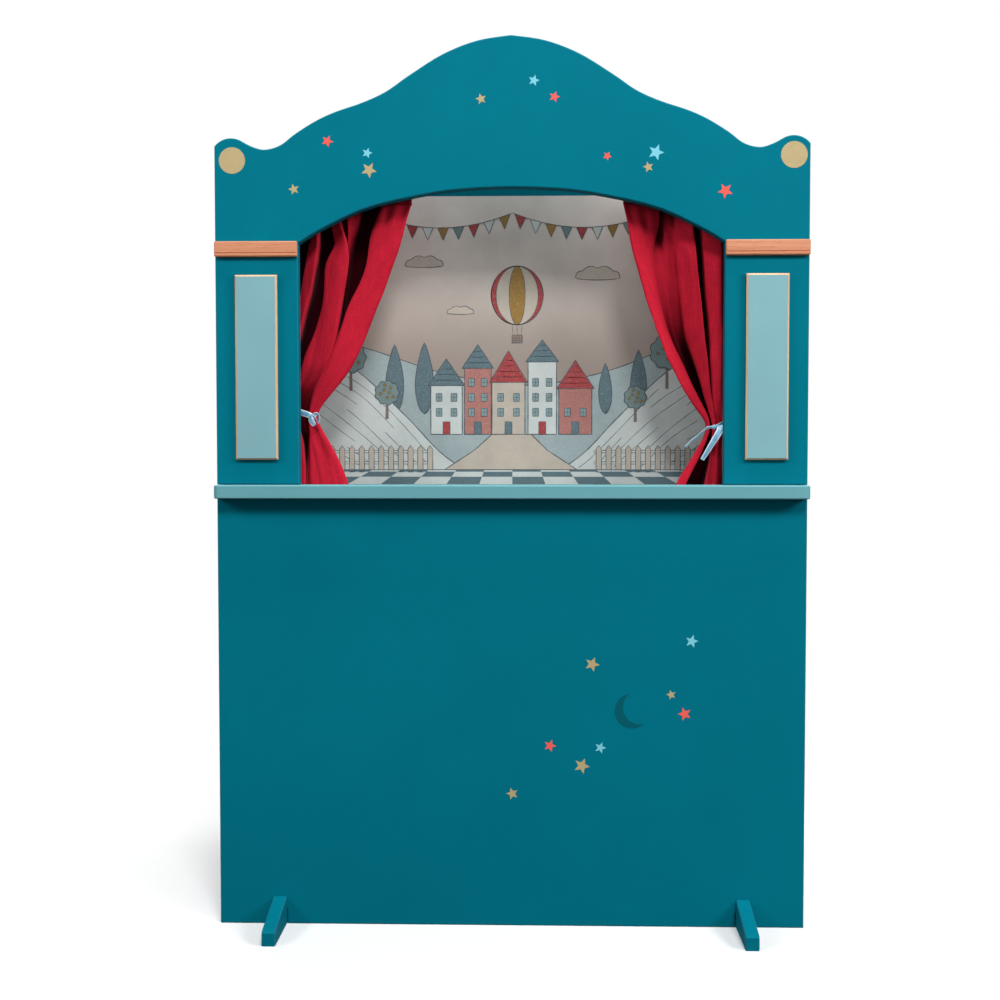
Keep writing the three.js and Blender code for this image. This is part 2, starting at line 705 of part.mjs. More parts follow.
// Ribbon ties: a band round the curtain's waist, a strap through the eye, a knot and two tails
// that hang in front of the cloth.
function curtainTie(name, side) {
  const { rows } = curtainShape(side);
  const [, leading, outer, fold] = rows[waistRow];
  const outerEdge = outer * headingOuter;
  const innerEdge = leading * openingHalf;
  const halfBreadth = (outerEdge - innerEdge) / 2 + ribbonClearance;
  const halfDepth = fold * foldDepth + clothThickness + ribbonClearance;
  const centre = side * (outerEdge + innerEdge) / 2;
  const wall = 2 * ribbonThickness;
  const corner = halfDepth / 2;
  const band = roundedRectangle(2 * halfBreadth + wall, 2 * halfDepth + wall, corner + ribbonThickness);
  const hole = roundedRectangle(2 * halfBreadth, 2 * halfDepth, corner);
  band.holes.push(new THREE.Path(hole.getPoints(arcSteps)));
  const winding = { depth: ribbonWidth, bevelEnabled: false, curveSegments: arcSteps };
  const ring = new THREE.ExtrudeGeometry(band, winding).translate(0, 0, -ribbonWidth / 2);
  const eyeX = side * postCentre - centre;
  const eyeY = eyeSetback - rodSetback;
  const pass = side * eyeWireRadius * 2;
  const link = tieStrap([side * (halfBreadth + ribbonThickness / 2), 0, 0], [eyeX - pass, eyeY, 0]);
  const loop = tieStrap([eyeX - pass, eyeY, 0], [eyeX + pass, eyeY, 0]);
  const knotX = tieKnotRadius - halfBreadth;
  const knot = new THREE.IcosahedronGeometry(tieKnotRadius, 1)
    .translate(side * knotX, -halfDepth - ribbonThickness - tieKnotRadius / 2, 0);
  const tailY = -foldDepth - clothThickness * steepestShare - ribbonThickness;
  const tails = [-1, 1].map((lean) => tieTail([side * knotX, tailY, 0], lean * tieTailLean));
  addPiece(name, fuse([ring, link, loop, knot, ...tails]), blueSatin, centre, rodSetback, tieLevelOf(side));
}

// The ribbon drawn together into a narrow strap, so that it passes through the eye.
function tieStrap(from, to) {
  const narrow = eyeRingRadius - eyeWireRadius - fitGap;
  const length = new THREE.Vector3(...from).distanceTo(new THREE.Vector3(...to));
  const strap = new THREE.BoxGeometry(ribbonThickness, length, narrow).translate(0, length / 2, 0);
  return aimAlong(strap, from, to);
}

function tieTail(from, lean) {
  const tail = new THREE.BoxGeometry(ribbonWidth, ribbonThickness, tieTailLength)
    .translate(0, 0, -tieTailLength / 2).rotateY(lean);
  return tail.translate(...from);
}

function screwEye(name, side) {
  const ring = new THREE.TorusGeometry(eyeRingRadius, eyeWireRadius, wireSides, ringSteps);
  ring.rotateY(Math.PI / 2);
  const shankEnd = -eyeRingRadius - eyeWireRadius - eyeNeck - eyeShankDepth;
  const shank = roundBar(eyeWireRadius, [0, shankEnd, 0], [0, -eyeRingRadius, 0], wireSides);
  addPiece(name, fuse([ring, shank]), zincPlate, side * postCentre, eyeSetback, tieLevelOf(side));
}

// Fasteners

function dowel(name, x, bottom, length) {
  const profile = [[0, 0], [dowelRadius - dowelEase, 0], [dowelRadius, dowelEase],
    [dowelRadius, length - dowelEase], [dowelRadius - dowelEase, length], [0, length]];
  const peg = new THREE.LatheGeometry(profile.map(([r, y]) => new THREE.Vector2(r, y)), roundSteps);
  addPiece(name, peg.rotateX(Math.PI / 2), rodWood, x, boardThickness / 2, bottom);
}

function postDowels(word, side) {
  ['outer', 'inner'].forEach((place, index) => {
    const x = side * (postCentre + (index ? -1 : 1) * dowelSpread / 2);
    dowel(`${word}_shelf_dowel_${place}`, x, lowerPanelHeight - dowelDepth,
      postLevel - lowerPanelHeight + 2 * dowelDepth);
    dowel(`${word}_header_dowel_${place}`, x, headerLevel - fitGap - dowelDepth, fitGap + 2 * dowelDepth);
  });
}

function camFitting(word, side, place) {
  const level = camLevels[place];
  const camY = wingFront + camSetback;
  const disc = roundBar(camRadius, [0, 0, 0], [side * camDepth, 0, 0]);
  const slot = new THREE.BoxGeometry(2 * camSlotDepth, camSlotWidth, camRadius);
  addPiece(`${word}_cam_${place}`, carve(disc, [slot]), zincPlate, side * wingInner, camY, level);
  const boltFront = boardThickness - camBoltDepth;
  const boltBack = camY - camRadius - fitGap;
  const bolt = roundBar(camBoltRadius, [0, 0, 0], [0, boltBack - boltFront, 0]);
  addPiece(`${word}_cam_bolt_${place}`, bolt, zincPlate, side * wingCentre, boltFront, level);
}

// A countersunk screw whose head is flush at the given place and whose tip points along X.
function screw(name, length, towards, x, y, z) {
  const profile = [[0, 0], [screwHeadRadius, 0], [screwRadius, screwHeadHeight],
    [screwRadius, length - screwTipLength], [0, length]];
  const outline = profile.map(([r, along]) => new THREE.Vector2(r, along));
  const turned = new THREE.LatheGeometry(outline, roundSteps);
  const tip = new THREE.Vector3(towards, 0, 0);
  turned.applyQuaternion(new THREE.Quaternion().setFromUnitVectors(new THREE.Vector3(0, 1, 0), tip));
  addPiece(name, turned, zincPlate, x, y, z);
}

function sideScrews(word, side) {
  for (const place of ['bottom', 'top']) {
    screw(`${word}_${place}_rail_screw`, railScrewLength, -side,
      side * halfWidth, railScrewSetbacks[place], railScrewLevels[place]);
  }
  ['front', 'rear'].forEach((place, index) => {
    const y = rodSetback + (index ? 1 : -1) * bracketScrewSpread / 2;
    screw(`${word}_bracket_screw_${place}`, bracketScrewLength, side,
      side * bracketFace, y, rodLevel - bracketScrewDrop);
  });
}

lowerPanel();
shelf();
header();
rail('bottom_rail', bottomRailTop, bottomRailFront, bottomRailHeight, bottomRailDepth);
rail('top_rail', topRailTop, topRailFront, topRailHeight, topRailDepth);
backdrop();
curtainRod();
for (const [word, side] of [['left', -1], ['right', 1]]) {
  post(`${word}_post`, side);
  trim(`${word}_trim`, side);
  decorPanel(`${word}_decor_panel`, side);
  foot(`${word}_foot`, side);
  wing(`${word}_wing`, side);
  rodBracket(`${word}_rod_bracket`, side);
  curtainHeading(`${word}_curtain_heading`, side);
  curtainDrop(`${word}_curtain_drop`, side);
  curtainTie(`${word}_tie`, side);
  screwEye(`${word}_screw_eye`, side);
  postDowels(word, side);
  Object.keys(camLevels).forEach((place) => camFitting(word, side, place));
  sideScrews(word, side);
}

// The origin goes under the middle of the box that the feet and boards fill.
stand.position.set(0, (footFront - footBack) / 2, 0);

export default stand;
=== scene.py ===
"""Dresses a children's puppet theater stand: paint, wood, fittings, curtains, ribbons and prints.

Lengths are in metres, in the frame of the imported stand: +X to the audience's right,
+Y to the back, +Z up, with the floor at zero.
"""

import math

import bmesh
import bpy
import numpy as np
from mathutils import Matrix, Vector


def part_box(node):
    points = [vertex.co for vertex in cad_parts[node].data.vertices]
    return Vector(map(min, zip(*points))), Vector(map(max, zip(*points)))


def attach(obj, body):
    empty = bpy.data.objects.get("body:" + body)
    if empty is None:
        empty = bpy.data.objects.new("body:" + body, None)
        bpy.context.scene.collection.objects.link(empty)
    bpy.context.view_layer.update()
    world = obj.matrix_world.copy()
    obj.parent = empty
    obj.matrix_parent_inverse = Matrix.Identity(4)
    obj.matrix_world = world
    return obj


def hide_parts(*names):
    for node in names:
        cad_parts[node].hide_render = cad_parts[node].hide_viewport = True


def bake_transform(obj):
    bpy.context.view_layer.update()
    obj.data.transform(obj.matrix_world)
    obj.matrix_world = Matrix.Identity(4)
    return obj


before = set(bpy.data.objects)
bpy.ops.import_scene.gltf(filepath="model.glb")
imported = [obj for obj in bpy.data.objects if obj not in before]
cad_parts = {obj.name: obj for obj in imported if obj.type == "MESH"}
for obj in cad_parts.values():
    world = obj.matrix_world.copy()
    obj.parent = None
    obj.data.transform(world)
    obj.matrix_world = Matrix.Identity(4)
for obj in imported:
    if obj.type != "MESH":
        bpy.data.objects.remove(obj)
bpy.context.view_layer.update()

bl_info = {
    "name": "Puppet theater stand",
    "version": (1, 0, 0),
    "blender": (4, 5, 0),
    "location": "View3D > Sidebar > Puppet theater",
    "description": "Paint, curtains, ribbons and prints for a free-standing puppet theater",
    "category": "Object",
}

MM = 0.001
SIDES = (("left", -1), ("right", 1))


# Settings


def linear(red, green, blue):
    """A screen colour, from 0 to 255, as the linear colour that shaders take."""
    screen = np.array((red, green, blue)) / 255
    return tuple(np.where(screen <= 0.04045, screen / 12.92, ((screen + 0.055) / 1.055) ** 2.4))


def colour_setting(name, description, red, green, blue):
    return bpy.props.FloatVectorProperty(
        name=name, description=description, subtype="COLOR", size=3, min=0, max=1,
        default=linear(red, green, blue))


def length_setting(name, description, millimetres):
    return bpy.props.FloatProperty(name=name, description=description, default=millimetres * MM,
                                   min=0, subtype="DISTANCE", unit="LENGTH")


def share_setting(name, description, default):
    return bpy.props.FloatProperty(name=name, description=description, default=default,
                                   min=0, max=1, subtype="FACTOR")


def power_setting(name, description, watts):
    return bpy.props.FloatProperty(name=name, description=description, default=watts, min=0,
                                   unit="POWER")


class PaintSettings(bpy.types.PropertyGroup):
    teal: colour_setting("Teal", "Paint of the panel, posts, header, wings and feet", 0, 112, 131)
    shelf: colour_setting("Shelf", "Paint of the shelf", 104, 162, 170)
    decor: colour_setting("Decor", "Paint of the decor panels", 128, 173, 181)
    # Painted highlight: how much lighter the eased edges are painted
    rim_highlight: share_setting("Edge light", "How much lighter the eased edges are", 0.2)


class WoodSettings(bpy.types.PropertyGroup):
    light: colour_setting("Light", "Early wood of the bare trims", 212, 146, 109)
    dark: colour_setting("Dark", "Late wood of the bare trims", 184, 112, 78)
    pale_light: colour_setting("Rod light", "Early wood of the rod and dowels", 232, 205, 165)
    pale_dark: colour_setting("Rod dark", "Late wood of the rod and dowels", 196, 160, 116)


class MetalSettings(bpy.types.PropertyGroup):
    zinc: colour_setting("Zinc", "Screws, cams, eyes and brackets", 196, 200, 206)
    recess: length_setting("Recess", "Depth of the cross recess in a screw head", 1.3)


class ClothSettings(bpy.types.PropertyGroup):
    lit: colour_setting("Cloth", "Curtain cloth on the ridges", 198, 32, 54)
    # Painted shade: the colour the cloth is darkened to in its valleys and along its seam
    painted_shade: colour_setting("Deep", "Curtain cloth in the valleys", 44, 0, 10)
    thickness: length_setting("Thickness", "Thickness of the curtain cloth", 1.0)
    ridge: length_setting("Ridge", "How far the folds stand out in front of the rod's line", 14)
    valley: length_setting("Valley", "How far the folds go behind the rod's line", 19)
    crease: length_setting("Crease", "Depth of the fine creases", 1.3)


class RibbonSettings(bpy.types.PropertyGroup):
    satin: colour_setting("Satin", "Ribbon ties", 128, 188, 216)
    # Painted shade: the colour that cloudy patches of the ribbon are darkened to
    painted_shade: colour_setting("Satin deep", "Ribbon ties where they turn away", 62, 122, 182)
    width: length_setting("Width", "Width of the ribbon", 7.5)
    thickness: length_setting("Thickness", "Thickness of the ribbon", 0.4)


class PrintSettings(bpy.types.PropertyGroup):
    gold: colour_setting("Gold", "Discs and gold stars", 182, 164, 122)
    blue: colour_setting("Blue", "Blue stars", 122, 200, 218)
    coral: colour_setting("Coral", "Coral stars", 240, 98, 88)
    night: colour_setting("Night", "Crescent moon", 3, 88, 101)
    lift: length_setting("Lift", "Thickness of the printed ink", 0.12)


class BackdropSettings(bpy.types.PropertyGroup):
    wall: colour_setting("Ground", "Ground of the print, low on it", 156, 143, 134)
    # Partly painted light: the ground is blended towards this paler colour up to the board's top
    sky: colour_setting("Sky", "Ground of the print, at its top", 240, 231, 223)
    ink: colour_setting("Ink", "Outlines of the drawing", 74, 82, 88)
    board: colour_setting("Board", "Bare back of the backdrop", 150, 112, 78)
    layer: length_setting("Layer", "Distance between two printed layers", 0.025)


class StageSettings(bpy.types.PropertyGroup):
    floor: colour_setting("Floor", "Floor and background, as they are seen", 240, 240, 240)
    bounce: colour_setting("Bounce", "Floor and background, as they light the stand", 64, 64, 64)
    left: power_setting("Left", "Power of the left lamp", 23)
    right: power_setting("Right", "Power of the right lamp", 39)
    front: power_setting("Front", "Power of the front lamp", 10)
    high: power_setting("High", "Power of the high lamp", 158)
    top: power_setting("Top", "Power of the lamp over the stage", 23)
    back: power_setting("Back", "Power of each lamp behind", 58)
    sky: share_setting("Sky", "Strength of the surroundings", 0.02)


# Shader nodes


def add(tree, kind, settings=None, **inputs):
    """Adds a shader node. An input is a value or another node's output, named with _ for a space."""
    made = tree.nodes.new("ShaderNode" + kind)
    for key, value in (settings or {}).items():
        setattr(made, key, value)
    for key, value in inputs.items():
        feed(tree, made.inputs[key.replace("_", " ")], value)
    return made


def feed(tree, socket, value):
    """Gives a socket a value, a colour or another node's output."""
    if isinstance(value, bpy.types.NodeSocket):
        tree.links.new(value, socket)
    elif socket.type == "RGBA" and len(value) == 3:
        socket.default_value = (*value, 1)
    else:
        socket.default_value = value


def maths(tree, operation, first, second=0.0):
    made = add(tree, "Math", {"operation": operation})
    feed(tree, made.inputs[0], first)
    feed(tree, made.inputs[1], second)
    return made.outputs[0]


def mix(tree, share, first, second):
    """A colour between two colours."""
    made = add(tree, "Mix", {"data_type": "RGBA"})
    for index, value in ((0, share), (6, first), (7, second)):
        feed(tree, made.inputs[index], value)
    return made.outputs[2]


def remap(tree, value, low, high, start=0.0, end=1.0, smooth=False):
    """A value moved from one range to another and kept inside it."""
    kind = "SMOOTHSTEP" if smooth else "LINEAR"
    made = add(tree, "MapRange", {"interpolation_type": kind}, Value=value)
    for index, number in enumerate((low, high, start, end)):
        made.inputs[index + 1].default_value = number
    return made.outputs[0]


def toned(tree, body, value, low, high, colour, most=1.0):
    """A colour that turns to another one, at most by a share, as a value goes from low to high."""
    return mix(tree, remap(tree, value, low, high, 0, most), body, colour)


def coordinate(tree, kind, axis=None):
    """A texture coordinate, which is Object, Normal or UV, or one axis of it."""
    whole = add(tree, "TexCoord").outputs[kind]
    return whole if axis is None else add(tree, "SeparateXYZ", Vector=whole).outputs[axis]


def noise(tree, vector, scale, detail=2.0, roughness=0.5, distortion=0.0):
    """Noise of one scale, or stretched, with a scale for each axis."""
    if isinstance(scale, tuple):
        vector = add(tree, "Mapping", Vector=vector, Scale=scale).outputs[0]
        scale = 1
    return add(tree, "TexNoise", Vector=vector, Scale=scale, Detail=detail, Roughness=roughness,
               Distortion=distortion).outputs["Fac"]


def bump(tree, height, strength, distance, below=None):
    made = add(tree, "Bump", Height=height, Strength=strength, Distance=distance)
    if below is not None:
        tree.links.new(below, made.inputs["Normal"])
    return made.outputs[0]


def shade(colour, factor):
    return tuple(min(1.0, channel * factor) for channel in colour)


def new_material(name):
    material = bpy.data.materials.new(name)
    material.use_nodes = True
    material.node_tree.nodes.clear()
    return material, material.node_tree


def surface(material, **sockets):
    """Ends a material with one principled shader."""
    tree = material.node_tree
    shader = add(tree, "BsdfPrincipled", **sockets)
    add(tree, "OutputMaterial", Surface=shader.outputs[0])
    return material


# Finishes


def rim_share(tree, across):
    """One on edges eased at 45 degrees to a board's thickness, which runs along one axis, and zero
    on its faces and its sides: four times the square of the normal along that axis, times the rest."""
    normal = coordinate(tree, "Normal", across)
    square = maths(tree, "MULTIPLY", normal, normal)
    rest = maths(tree, "SUBTRACT", 1.0, square)
    return remap(tree, maths(tree, "MULTIPLY", square, rest), 0.1, 0.24)


def paint(name, colour, across, rim_highlight):
    """Satin sprayed paint: faint clouding, a fine orange peel and a painted highlight on its eased
    edges.
    """
    material, tree = new_material(name)
    place = coordinate(tree, "Object")
    peel = noise(tree, place, 620, 2)
    mist = noise(tree, place, 90, 3)
    cloud = noise(tree, place, 5, 4, 0.6)
    body = toned(tree, shade(colour, 0.94), cloud, 0.3, 0.7, shade(colour, 1.05))
    body = toned(tree, body, mist, 0.35, 0.65, shade(colour, 0.97), 0.3)
    # Painted highlight: the eased edges are lightened towards a pale tint, patchy with the mist
    rim = maths(tree, "MULTIPLY", rim_share(tree, across), remap(tree, mist, 0.3, 0.6, 0.55, 1))
    pale = tuple(channel + (1 - channel) * rim_highlight * 0.35 for channel in shade(colour, 1.25))
    body = mix(tree, maths(tree, "MULTIPLY", rim, rim_highlight), body, pale)
    rough = remap(tree, noise(tree, place, 34, 3), 0.3, 0.7, 0.62, 0.74)
    relief = bump(tree, mist, 0.05, 0.4 * MM)
    relief = bump(tree, peel, 0.12, 0.05 * MM, relief)
    return surface(material, Base_Color=body, Roughness=rough, Normal=relief, Specular_IOR_Level=0.03)


def wood_colour(tree, light, dark, along):
    """Streaks along one axis: a slow band of growth rings, fine fibres and short dark pores."""
    place = coordinate(tree, "Object")

    def streaks(length_scale, breadth_scale, *settings):
        scale = tuple(length_scale if axis == along else breadth_scale for axis in range(3))
        return noise(tree, place, scale, *settings)

    fibres = streaks(16, 620, 4, 0.7)
    body = toned(tree, light, streaks(5, 70, 3, 0.5, 1.2), 0.35, 0.65, mix(tree, 0.5, light, dark))
    body = toned(tree, body, fibres, 0.4, 0.72, dark, 0.75)
    body = toned(tree, body, streaks(110, 1500, 1), 0.62, 0.72, shade(dark, 0.55), 0.55)
    return body, fibres, bump(tree, fibres, 0.25, 0.12 * MM)


def bare_wood(name, light, dark, along):
    """Oiled straight-grained wood with darker end grain."""
    material, tree = new_material(name)
    body, fibres, relief = wood_colour(tree, light, dark, along)
    end = maths(tree, "ABSOLUTE", coordinate(tree, "Normal", along))
    body = toned(tree, body, end, 0.75, 0.95, shade(dark, 0.8), 0.45)
    rough = remap(tree, fibres, 0.3, 0.7, 0.5, 0.68)
    return surface(material, Base_Color=body, Roughness=rough, Normal=relief, Specular_IOR_Level=0.4)


def facing_audience(tree, low, high):
    """One on faces that look to the audience and zero on the others."""
    return remap(tree, maths(tree, "MULTIPLY", coordinate(tree, "Normal", 1), -1.0), low, high)


def edged_panel(name, colour, light, dark):
    """A pale painted face on a board whose eased edges and sides are bare wood."""
    material, tree = new_material(name)
    wood, _, relief = wood_colour(tree, light, dark, 2)
    place = coordinate(tree, "Object")
    painted = toned(tree, shade(colour, 0.95), noise(tree, place, 9, 4), 0.3, 0.7, shade(colour, 1.05))
    body = mix(tree, facing_audience(tree, 0.9, 0.98), wood, painted)
    relief = bump(tree, noise(tree, place, 620, 2), 0.12, 0.05 * MM, relief)
    return surface(material, Base_Color=body, Roughness=0.5, Normal=relief, Specular_IOR_Level=0.05)


def zinc_plate(name, colour):
    """Bright zinc with a faint bloom and fine scratches."""
    material, tree = new_material(name)
    place = coordinate(tree, "Object")
    bloom = noise(tree, place, 180, 4, 0.6)
    scratch = noise(tree, place, (2600, 300, 300), 2)
    return surface(material, Base_Color=toned(tree, colour, bloom, 0.35, 0.7, shade(colour, 0.72)),
                   Metallic=1.0, Roughness=remap(tree, bloom, 0.3, 0.7, 0.22, 0.42),
                   Normal=bump(tree, scratch, 0.15, 0.03 * MM))


def curtain_cloth(name, settings, seam):
    """Brushed cloth woven along its own UV map, which is in metres: lengthwise slubs, crosswise
    yarns and a soft nap. Painted shade darkens its colour into the valleys of its front, and a
    stitched line crosses it, darkened by the same painted shade."""
    material, tree = new_material(name)
    lay = coordinate(tree, "UV")
    slubs = noise(tree, lay, (620, 60, 1), 4, 0.65)
    yarns = noise(tree, lay, (70, 700, 1), 3, 0.65)
    nap = noise(tree, lay, 60, 5, 0.65)
    lit = settings.lit
    body = toned(tree, shade(lit, 0.76), slubs, 0.3, 0.7, shade(lit, 1.2))
    body = toned(tree, body, yarns, 0.4, 0.68, shade(lit, 0.66), 0.5)
    body = toned(tree, body, nap, 0.38, 0.66, shade(lit, 0.8), 0.45)
    # Painted shade: the colour is darkened into the valleys, on faces that look to the audience
    depth = add(tree, "Attribute", {"attribute_name": "fold_depth"}).outputs["Fac"]
    front = remap(tree, coordinate(tree, "Normal", 1), 0.0, 0.5, 1, 0)
    sunk = maths(tree, "MULTIPLY", remap(tree, depth, 0.3, 0.9, smooth=True), front)
    body = mix(tree, sunk, body, settings.painted_shade)
    # Painted shade in the seam's crease: a darker line along the stitched seam
    offset = maths(tree, "ABSOLUTE", maths(tree, "SUBTRACT", coordinate(tree, "UV", 1), seam))
    line = remap(tree, offset, 0.3 * MM, 1.4 * MM, 1, 0, True)
    body = mix(tree, maths(tree, "MULTIPLY", line, 0.55), body, settings.painted_shade)
    height = maths(tree, "SUBTRACT", maths(tree, "ADD", slubs, yarns), line)
    return surface(material, Base_Color=body, Roughness=0.92, Specular_IOR_Level=0.05,
                   Normal=bump(tree, height, 0.55, 0.35 * MM),
                   Sheen_Weight=0.08, Sheen_Roughness=0.5, Sheen_Tint=(0.95, 0.35, 0.42, 1))


def ribbon_satin(name, colour, painted_shade):
    """Satin ribbon: fine lengthwise threads, cloudy patches of painted shade, pale edges that are a
    painted highlight, and a soft gloss.
    """
    material, tree = new_material(name)
    lay = coordinate(tree, "UV")
    threads = noise(tree, lay, (6000, 120, 1), 2)
    cloud = noise(tree, lay, 90, 3)
    body = toned(tree, shade(colour, 0.88), threads, 0.3, 0.7, shade(colour, 1.08))
    # Painted shade: cloudy patches of the ribbon are darkened towards the deep blue
    body = toned(tree, body, cloud, 0.42, 0.66, painted_shade, 0.8)
    # Painted highlight: the ribbon's edges are lightened to near white
    off_middle = maths(tree, "ABSOLUTE", coordinate(tree, "UV", 0))
    edge = remap(tree, off_middle, 1.9 * MM, 3.0 * MM, 0, 0.8, True)
    return surface(material, Base_Color=mix(tree, edge, body, (0.88, 0.93, 0.95)),
                   Roughness=remap(tree, cloud, 0.3, 0.7, 0.28, 0.42), Specular_IOR_Level=0.7,
                   Normal=bump(tree, threads, 0.2, 0.05 * MM), Sheen_Weight=0.2)


def screen_ink(name, colour):
    """Matt ink with a dry, slightly uneven edge-to-edge cover."""
    material, tree = new_material(name)
    place = coordinate(tree, "Object")
    cover = noise(tree, place, 700, 4, 0.7)
    body = toned(tree, colour, cover, 0.45, 0.75, shade(colour, 0.78), 0.5)
    body = toned(tree, body, noise(tree, place, 120, 3), 0.35, 0.65, shade(colour, 1.12), 0.3)
    return surface(material, Base_Color=body, Roughness=0.62, Specular_IOR_Level=0.05,
                   Normal=bump(tree, cover, 0.1, 0.03 * MM))


def printed_board(name, settings):
    """Paper-faced board: a washed ground on its front, paler towards the top, which is partly the
    drawing's pale sky and partly painted light on the print's top, and bare pressed fibre on its
    back and edges."""
    material, tree = new_material(name)
    place = coordinate(tree, "Object")
    tooth = noise(tree, place, 900, 3)
    fibre = noise(tree, place, (260, 260, 190), 6, 0.75)
    low_edge, high_edge = (corner.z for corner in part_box("backdrop"))
    # Partly painted light on the print's top: the ground turns paler from 0.4 of the board's height up
    start = low_edge + 0.4 * (high_edge - low_edge)
    rise = remap(tree, coordinate(tree, "Object", 2), start, high_edge, smooth=True)
    paper = mix(tree, rise, settings.wall, settings.sky)
    wash = noise(tree, place, 11, 5, 0.6)
    paper = toned(tree, paper, wash, 0.3, 0.7, shade(settings.wall, 0.9), 0.35)
    raw = toned(tree, shade(settings.board, 0.75), fibre, 0.35, 0.65, shade(settings.board, 1.15))
    raw = toned(tree, raw, noise(tree, place, 420, 2), 0.66, 0.74, shade(settings.board, 0.4), 0.6)
    face = facing_audience(tree, 0.4, 0.6)
    return surface(material, Base_Color=mix(tree, face, raw, paper),
                   Normal=bump(tree, maths(tree, "ADD", tooth, fibre), 0.15, 0.08 * MM),
                   Roughness=remap(tree, face, 0, 1, 0.8, 0.55), Specular_IOR_Level=0.25)


def washed_print(name):
    """Drawing inks: each shape's own colour, from its attribute, laid on with an uneven wash."""
    material, tree = new_material(name)
    place = coordinate(tree, "Object")
    colour = add(tree, "Attribute", {"attribute_name": "ink"}).outputs["Color"]
    tooth = noise(tree, place, 900, 3)
    dark = mix(tree, 0.2, colour, (0, 0, 0))
    body = toned(tree, colour, noise(tree, place, 24, 5, 0.65), 0.35, 0.7, dark, 0.8)
    body = toned(tree, body, tooth, 0.55, 0.75, (1, 1, 1), 0.2)
    return surface(material, Base_Color=body, Roughness=0.55, Specular_IOR_Level=0.25,
                   Normal=bump(tree, tooth, 0.1, 0.05 * MM))


# Meshes


def link(name, data):
    made = bpy.data.objects.new(name, data)
    bpy.context.scene.collection.objects.link(made)
    return made


def make_mesh(name, points, faces, material, smooth=True):
    mesh = bpy.data.meshes.new(name)
    mesh.from_pydata(np.asarray(points).reshape(-1, 3).tolist(), [], faces)
    mesh.update()
    if smooth:
        mesh.shade_smooth()
    mesh.materials.append(material)
    return link(name, mesh)


def grid_faces(rows, columns, closed=False, flipped=False):
    """Quads of a grid of points, listed row by row, facing along the row step crossed with the
    column step, or the other way if flipped. A closed grid's last column joins its first."""
    over = np.arange(columns if closed else columns - 1)
    row, column = (part.ravel() for part in np.meshgrid(np.arange(rows - 1), over, indexing="ij"))
    here, below, beside = row * columns, (row + 1) * columns, (column + 1) % columns
    corners = (here + column, below + column, below + beside, here + beside)
    return np.stack(corners[::-1] if flipped else corners, axis=1).tolist()


def set_uv(made, u, v):
    """Gives each corner of a grid mesh the U and V of its point, both in metres."""
    mesh = made.data
    layer = mesh.uv_layers.new(name="UVMap")
    index = np.zeros(len(mesh.loops), np.int32)
    mesh.loops.foreach_get("vertex_index", index)
    flat = np.stack(np.broadcast_arrays(u, v), axis=-1).reshape(-1, 2)
    layer.data.foreach_set("uv", flat[index].astype(np.float32).ravel())


def soften(values, passes, axis=0):
    """Repeated averages of each value with its two neighbours, which keep the ends in place."""
    moved = np.moveaxis(np.array(values, float), axis, 0)
    for _ in range(passes):
        moved[1:-1] = (moved[:-2] + 2 * moved[1:-1] + moved[2:]) / 4
    return np.moveaxis(moved, 0, axis)


def smooth_step(values, low, high):
    share = np.clip((values - low) / (high - low), 0, 1)
    return share * share * (3 - 2 * share)


def full_turn(count):
    """Angles evenly round a circle."""
    return np.linspace(0, 2 * math.pi, count, endpoint=False)


def run_along(points):
    """How far each point of a line is from the line's start, measured along it."""
    return np.concatenate([[0], np.cumsum(np.linalg.norm(np.diff(points, axis=0), axis=1))])


def unit(vectors):
    return vectors / np.maximum(np.linalg.norm(vectors, axis=1, keepdims=True), 1e-9)


def thicken(made, thickness):
    """Gives cloth its thickness, half to each side, with crisp rims."""
    wall = made.modifiers.new("Thickness", "SOLIDIFY")
    wall.thickness = thickness
    wall.offset = 0
    made.modifiers.new("Crisp rims", "EDGE_SPLIT").split_angle = math.radians(50)


# Painted boards, bare wood and fittings

CAM_LEVELS = ("lower", "middle", "upper")
DOWEL_PLACES = [f"{board}_dowel_{edge}" for board in ("shelf", "header") for edge in ("outer", "inner")]
SCREW_HEAD_SHARE = 0.62
SCREW_SHANK_SHARE = 0.5
SCREW_PITCH_SHARE = 0.9
THREAD_DEPTH_SHARE = 0.16
CROSS_BAR_SHARE = 0.16
CROSS_REACH_SHARE = 0.62
SCREW_TURN_POINTS = 32


def cover(nodes, material):
    """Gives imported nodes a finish. Their meshes stay as they are."""
    for name in nodes:
        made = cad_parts[name]
        made.data.materials.clear()
        made.data.materials.append(material)


def paired(*words):
    return [f"{side}_{word}" for side, _ in SIDES for word in words]


